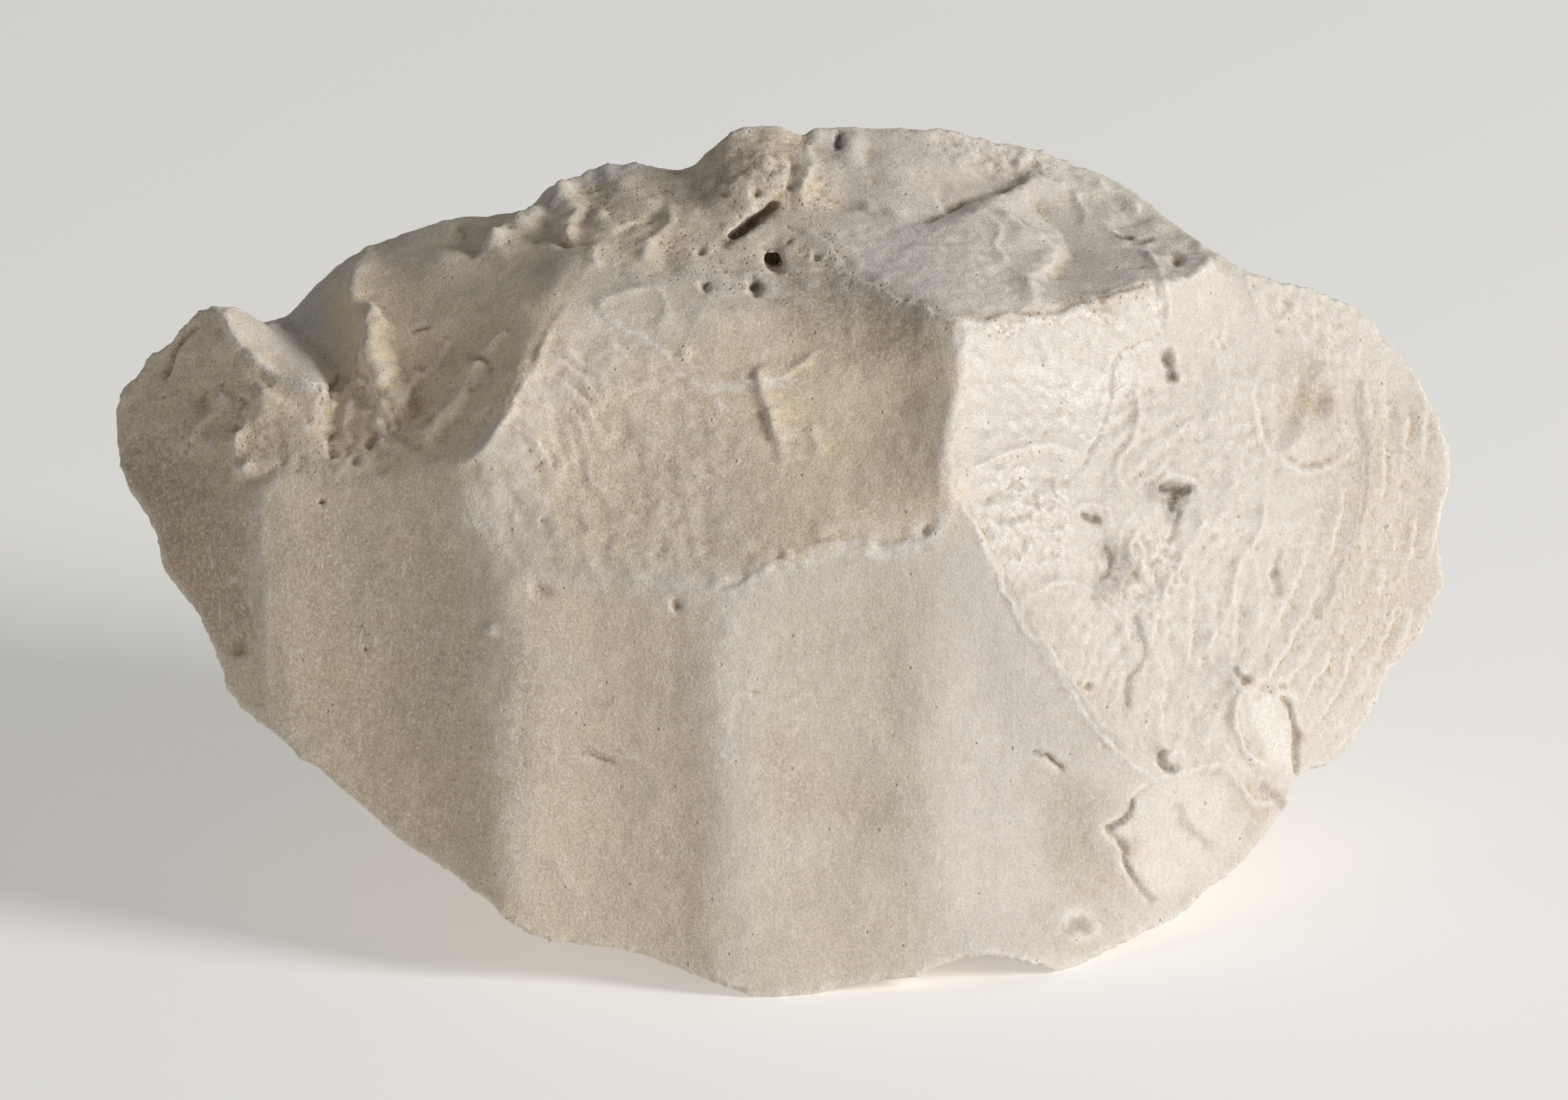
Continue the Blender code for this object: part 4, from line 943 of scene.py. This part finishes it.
def chalk_colour(chalk, patches, grain, fine, pores):
    """Fresh or weathered, then tan, ochre, brown specks, pale crumbs, painted shade and dirt and flecks, coat
    upon coat; the weathered and tan coats are partly painted warm shade, level faces take a painted sky tone,
    some stains are painted shade and some pale lines are painted rim highlights.
    """
    hollow = chalk.mask("hollow")
    broad = chalk.ramp(chalk.noise(16.0, 4.0, 0.6), 0.25, 0.6, 0.7, 1.0)
    weathered_and_warm_shade = chalk.times(chalk.mask("weathered_and_warm_shade"), broad)
    skin = chalk.highest(chalk.mask("weathered_and_warm_shade"), chalk.mask("level"))
    ochre = chalk.plus(chalk.times(hollow, chalk.ramp(patches, 0.35, 0.62, 0.25, 0.85)),
                       chalk.times(chalk.mask("stains_and_shade"), chalk.ramp(grain, 0.3, 0.6)),
                       chalk.times(weathered_and_warm_shade, chalk.ramp(patches, 0.55, 0.75, 0.0, 0.12)))
    specks = chalk.highest(chalk.times(chalk.ramp(grain, 0.56, 0.68), chalk.ramp(skin, 0.0, 1.0, 0.12, 0.26)),
                           chalk.times(chalk.ramp(grain, 0.5, 0.65), hollow, 0.6),
                           chalk.times(pores, 0.45))
    crumbs = chalk.times(chalk.mask("proud"), chalk.ramp(grain, 0.42, 0.6, 0.15, 0.8))
    broken = chalk.ramp(chalk.noise(1.0, 4.0, 0.8), 0.45, 0.54, 0.12, 1.0)
    pale = chalk.highest(chalk.times(chalk.mask("pale"), chalk.ramp(grain, 0.35, 0.6, 0.3, 1.0)),
                         chalk.times(chalk.mask("crumbs_and_rim_highlights"), broken))
    flecks = chalk.highest(chalk.ramp(chalk.noise(0.42, 1.0), 0.63, 0.68), chalk.scratches())
    coats = (
        # grey dust and painted sky-lit tone on up-facing faces
        (chalk.times(chalk.mask("level"), 0.8), LEVEL),
        # weathered skin, partly painted warm shade
        (weathered_and_warm_shade, WARM_SKIN_AND_SHADE),
        # warm beige with painted warm light in the shade
        (chalk.mask("tan_skin_and_warm_shade"), TAN_SKIN_AND_WARM_SHADE),
        # ochre in hollows and stains, partly painted shade
        (chalk.math("MINIMUM", ochre, 0.85), OCHRE),
        (specks, BROWN),
        (crumbs, CREAM),
        # pale areas and crumbs, with painted highlights along lit rims
        (pale, CREAM),
        # painted shade and dirt in the borings, slits and folds
        (chalk.times(chalk.mask("dark"), 0.9), SHADE_AND_DIRT),
        (chalk.times(flecks, chalk.ramp(skin, 0.0, 1.0, 0.3, 0.65)), CREAM),
    )
    colour = FRESH
    for share, coat in coats:
        colour = chalk.mix(share, colour, coat)
    grey = chalk.plus(chalk.times(fine, 0.7), chalk.times(patches, 0.3))
    swing = chalk.times(chalk.ramp(grey, 0.34, 0.66, -1.0, 1.0), chalk.ramp(skin, 0.0, 1.0, 0.09, 0.155))
    shaded = chalk.add("ShaderNodeVectorMath", operation="SCALE")
    chalk.feed(shaded.inputs[0], colour)
    chalk.feed(shaded.inputs["Scale"], chalk.plus(1.0, swing))
    return shaded.outputs[0]


def chalk_roughness(chalk, grain):
    """Matt, with a faint wax where the chalk is dense."""
    return chalk.plus(chalk.ramp(grain, 0.3, 0.7, 0.80, 0.95), chalk.times(chalk.mask("waxy"), -0.55))


def chalk_bump(chalk, patches, grain, fine, pores):
    """The grain and pores that are finer than the mesh; heights in mm."""
    parts = ((patches, 0.12), (grain, 0.07), (fine, 0.05), (pores, -0.14))
    height = chalk.plus(*(chalk.times(part, rise) for part, rise in parts))
    bump = chalk.add("ShaderNodeBump")
    chalk.feed_named(bump, {"Strength": 1.0, "Distance": 0.001, "Height": height})
    return bump.outputs["Normal"]


def chalk_material():
    """Chalk: fresh and pale or weathered and warm, the warmth partly painted shade, ochre in hollows, pale on
    edges with painted rim highlights, finely pitted, with painted shade in the borings.
    """
    chalk = Nodes("chalk")
    patches = chalk.noise(3.2, 4.0, 0.65, 0.4)
    grain = chalk.noise(0.55, 3.0, 0.7)
    fine = chalk.noise(0.28, 2.0, 0.6)
    pores = chalk_pores(chalk, patches)
    chalk.feed_named(chalk.shader, {
        "Base Color": chalk_colour(chalk, patches, grain, fine, pores),
        "Roughness": chalk_roughness(chalk, grain),
        "Specular IOR Level": 0.4,
        "Normal": chalk_bump(chalk, patches, grain, fine, pores),
    })
    return chalk.material


def aim(thing, place, target):
    """Puts a camera or a light at a place and turns it to a target, upright."""
    back = (Vector(place) - Vector(target)).normalized()
    thing.location = place
    thing.rotation_euler = back.to_track_quat("Z", "Y").to_euler()


def camera(top):
    """A long lens at the picture's angle; top is the highest point along the view's up axis, in mm."""
    data = bpy.data.cameras.new("camera")
    data.lens = LENS
    data.sensor_width = SENSOR
    data.clip_end = 50
    distance = PICTURE_WIDTH * PIXEL / SENSOR * LENS
    up = top - (PICTURE_MIDDLE[1] - STONE_TOP_ROW) * PIXEL
    across = (PICTURE_MIDDLE[0] - STONE_COLUMN) * PIXEL
    target = (RIGHT * across + UP * up) / 1000
    thing = put("camera", data)
    aim(thing, target + TOWARDS * distance / 1000, target)
    bpy.context.scene.camera = thing


def key_light():
    """A round soft light, 22 degrees up and 68 degrees to the right of the viewer."""
    data = bpy.data.lights.new("key", "AREA")
    data.shape = "DISK"
    data.size = 0.6
    data.energy = 18.2
    data.color = (1.0, 0.985, 0.965)
    turn, rise = math.radians(68), math.radians(22)
    direction = Vector((math.sin(turn) * math.cos(rise), -math.cos(turn) * math.cos(rise), math.sin(rise)))
    middle = Vector((0, 0, 0.04))
    aim(put("key", data), middle + direction * 1.5, middle)


def pale_floor():
    mesh = bpy.data.meshes.new("floor")
    mesh.from_pydata([(-20, -20, 0), (20, -20, 0), (20, 20, 0), (-20, 20, 0)], [], [(0, 1, 2, 3)])
    coat = Nodes("floor")
    coat.feed_named(coat.shader, {
        "Base Color": (0.88, 0.87, 0.86, 1),
        "Roughness": 0.8,
        "Emission Color": (1.0, 0.98, 0.95, 1),
        "Emission Strength": 0.28,
    })
    mesh.materials.append(coat.material)
    put("floor", mesh)


def studio():
    """A pale floor, one soft light from the right and a dim even sky."""
    pale_floor()
    world = bpy.data.worlds.new("studio")
    world.use_nodes = True
    background = world.node_tree.nodes["Background"]
    background.inputs["Color"].default_value = (1.0, 1.0, 1.0, 1)
    background.inputs["Strength"].default_value = 0.205
    bpy.context.scene.world = world
    key_light()
    bpy.context.scene.view_settings.view_transform = "Standard"


stone = fine_copy(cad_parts["chalk_rock"])
top = along_axis(points_of(stone.data), UP).max()
carve(stone, top)
thin_out(stone)
paint(stone, top)
stone.data.materials.clear()
stone.data.materials.append(chalk_material())
stone.data.shade_smooth()
camera(top)
studio()
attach(stone, "root")
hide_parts("chalk_rock")
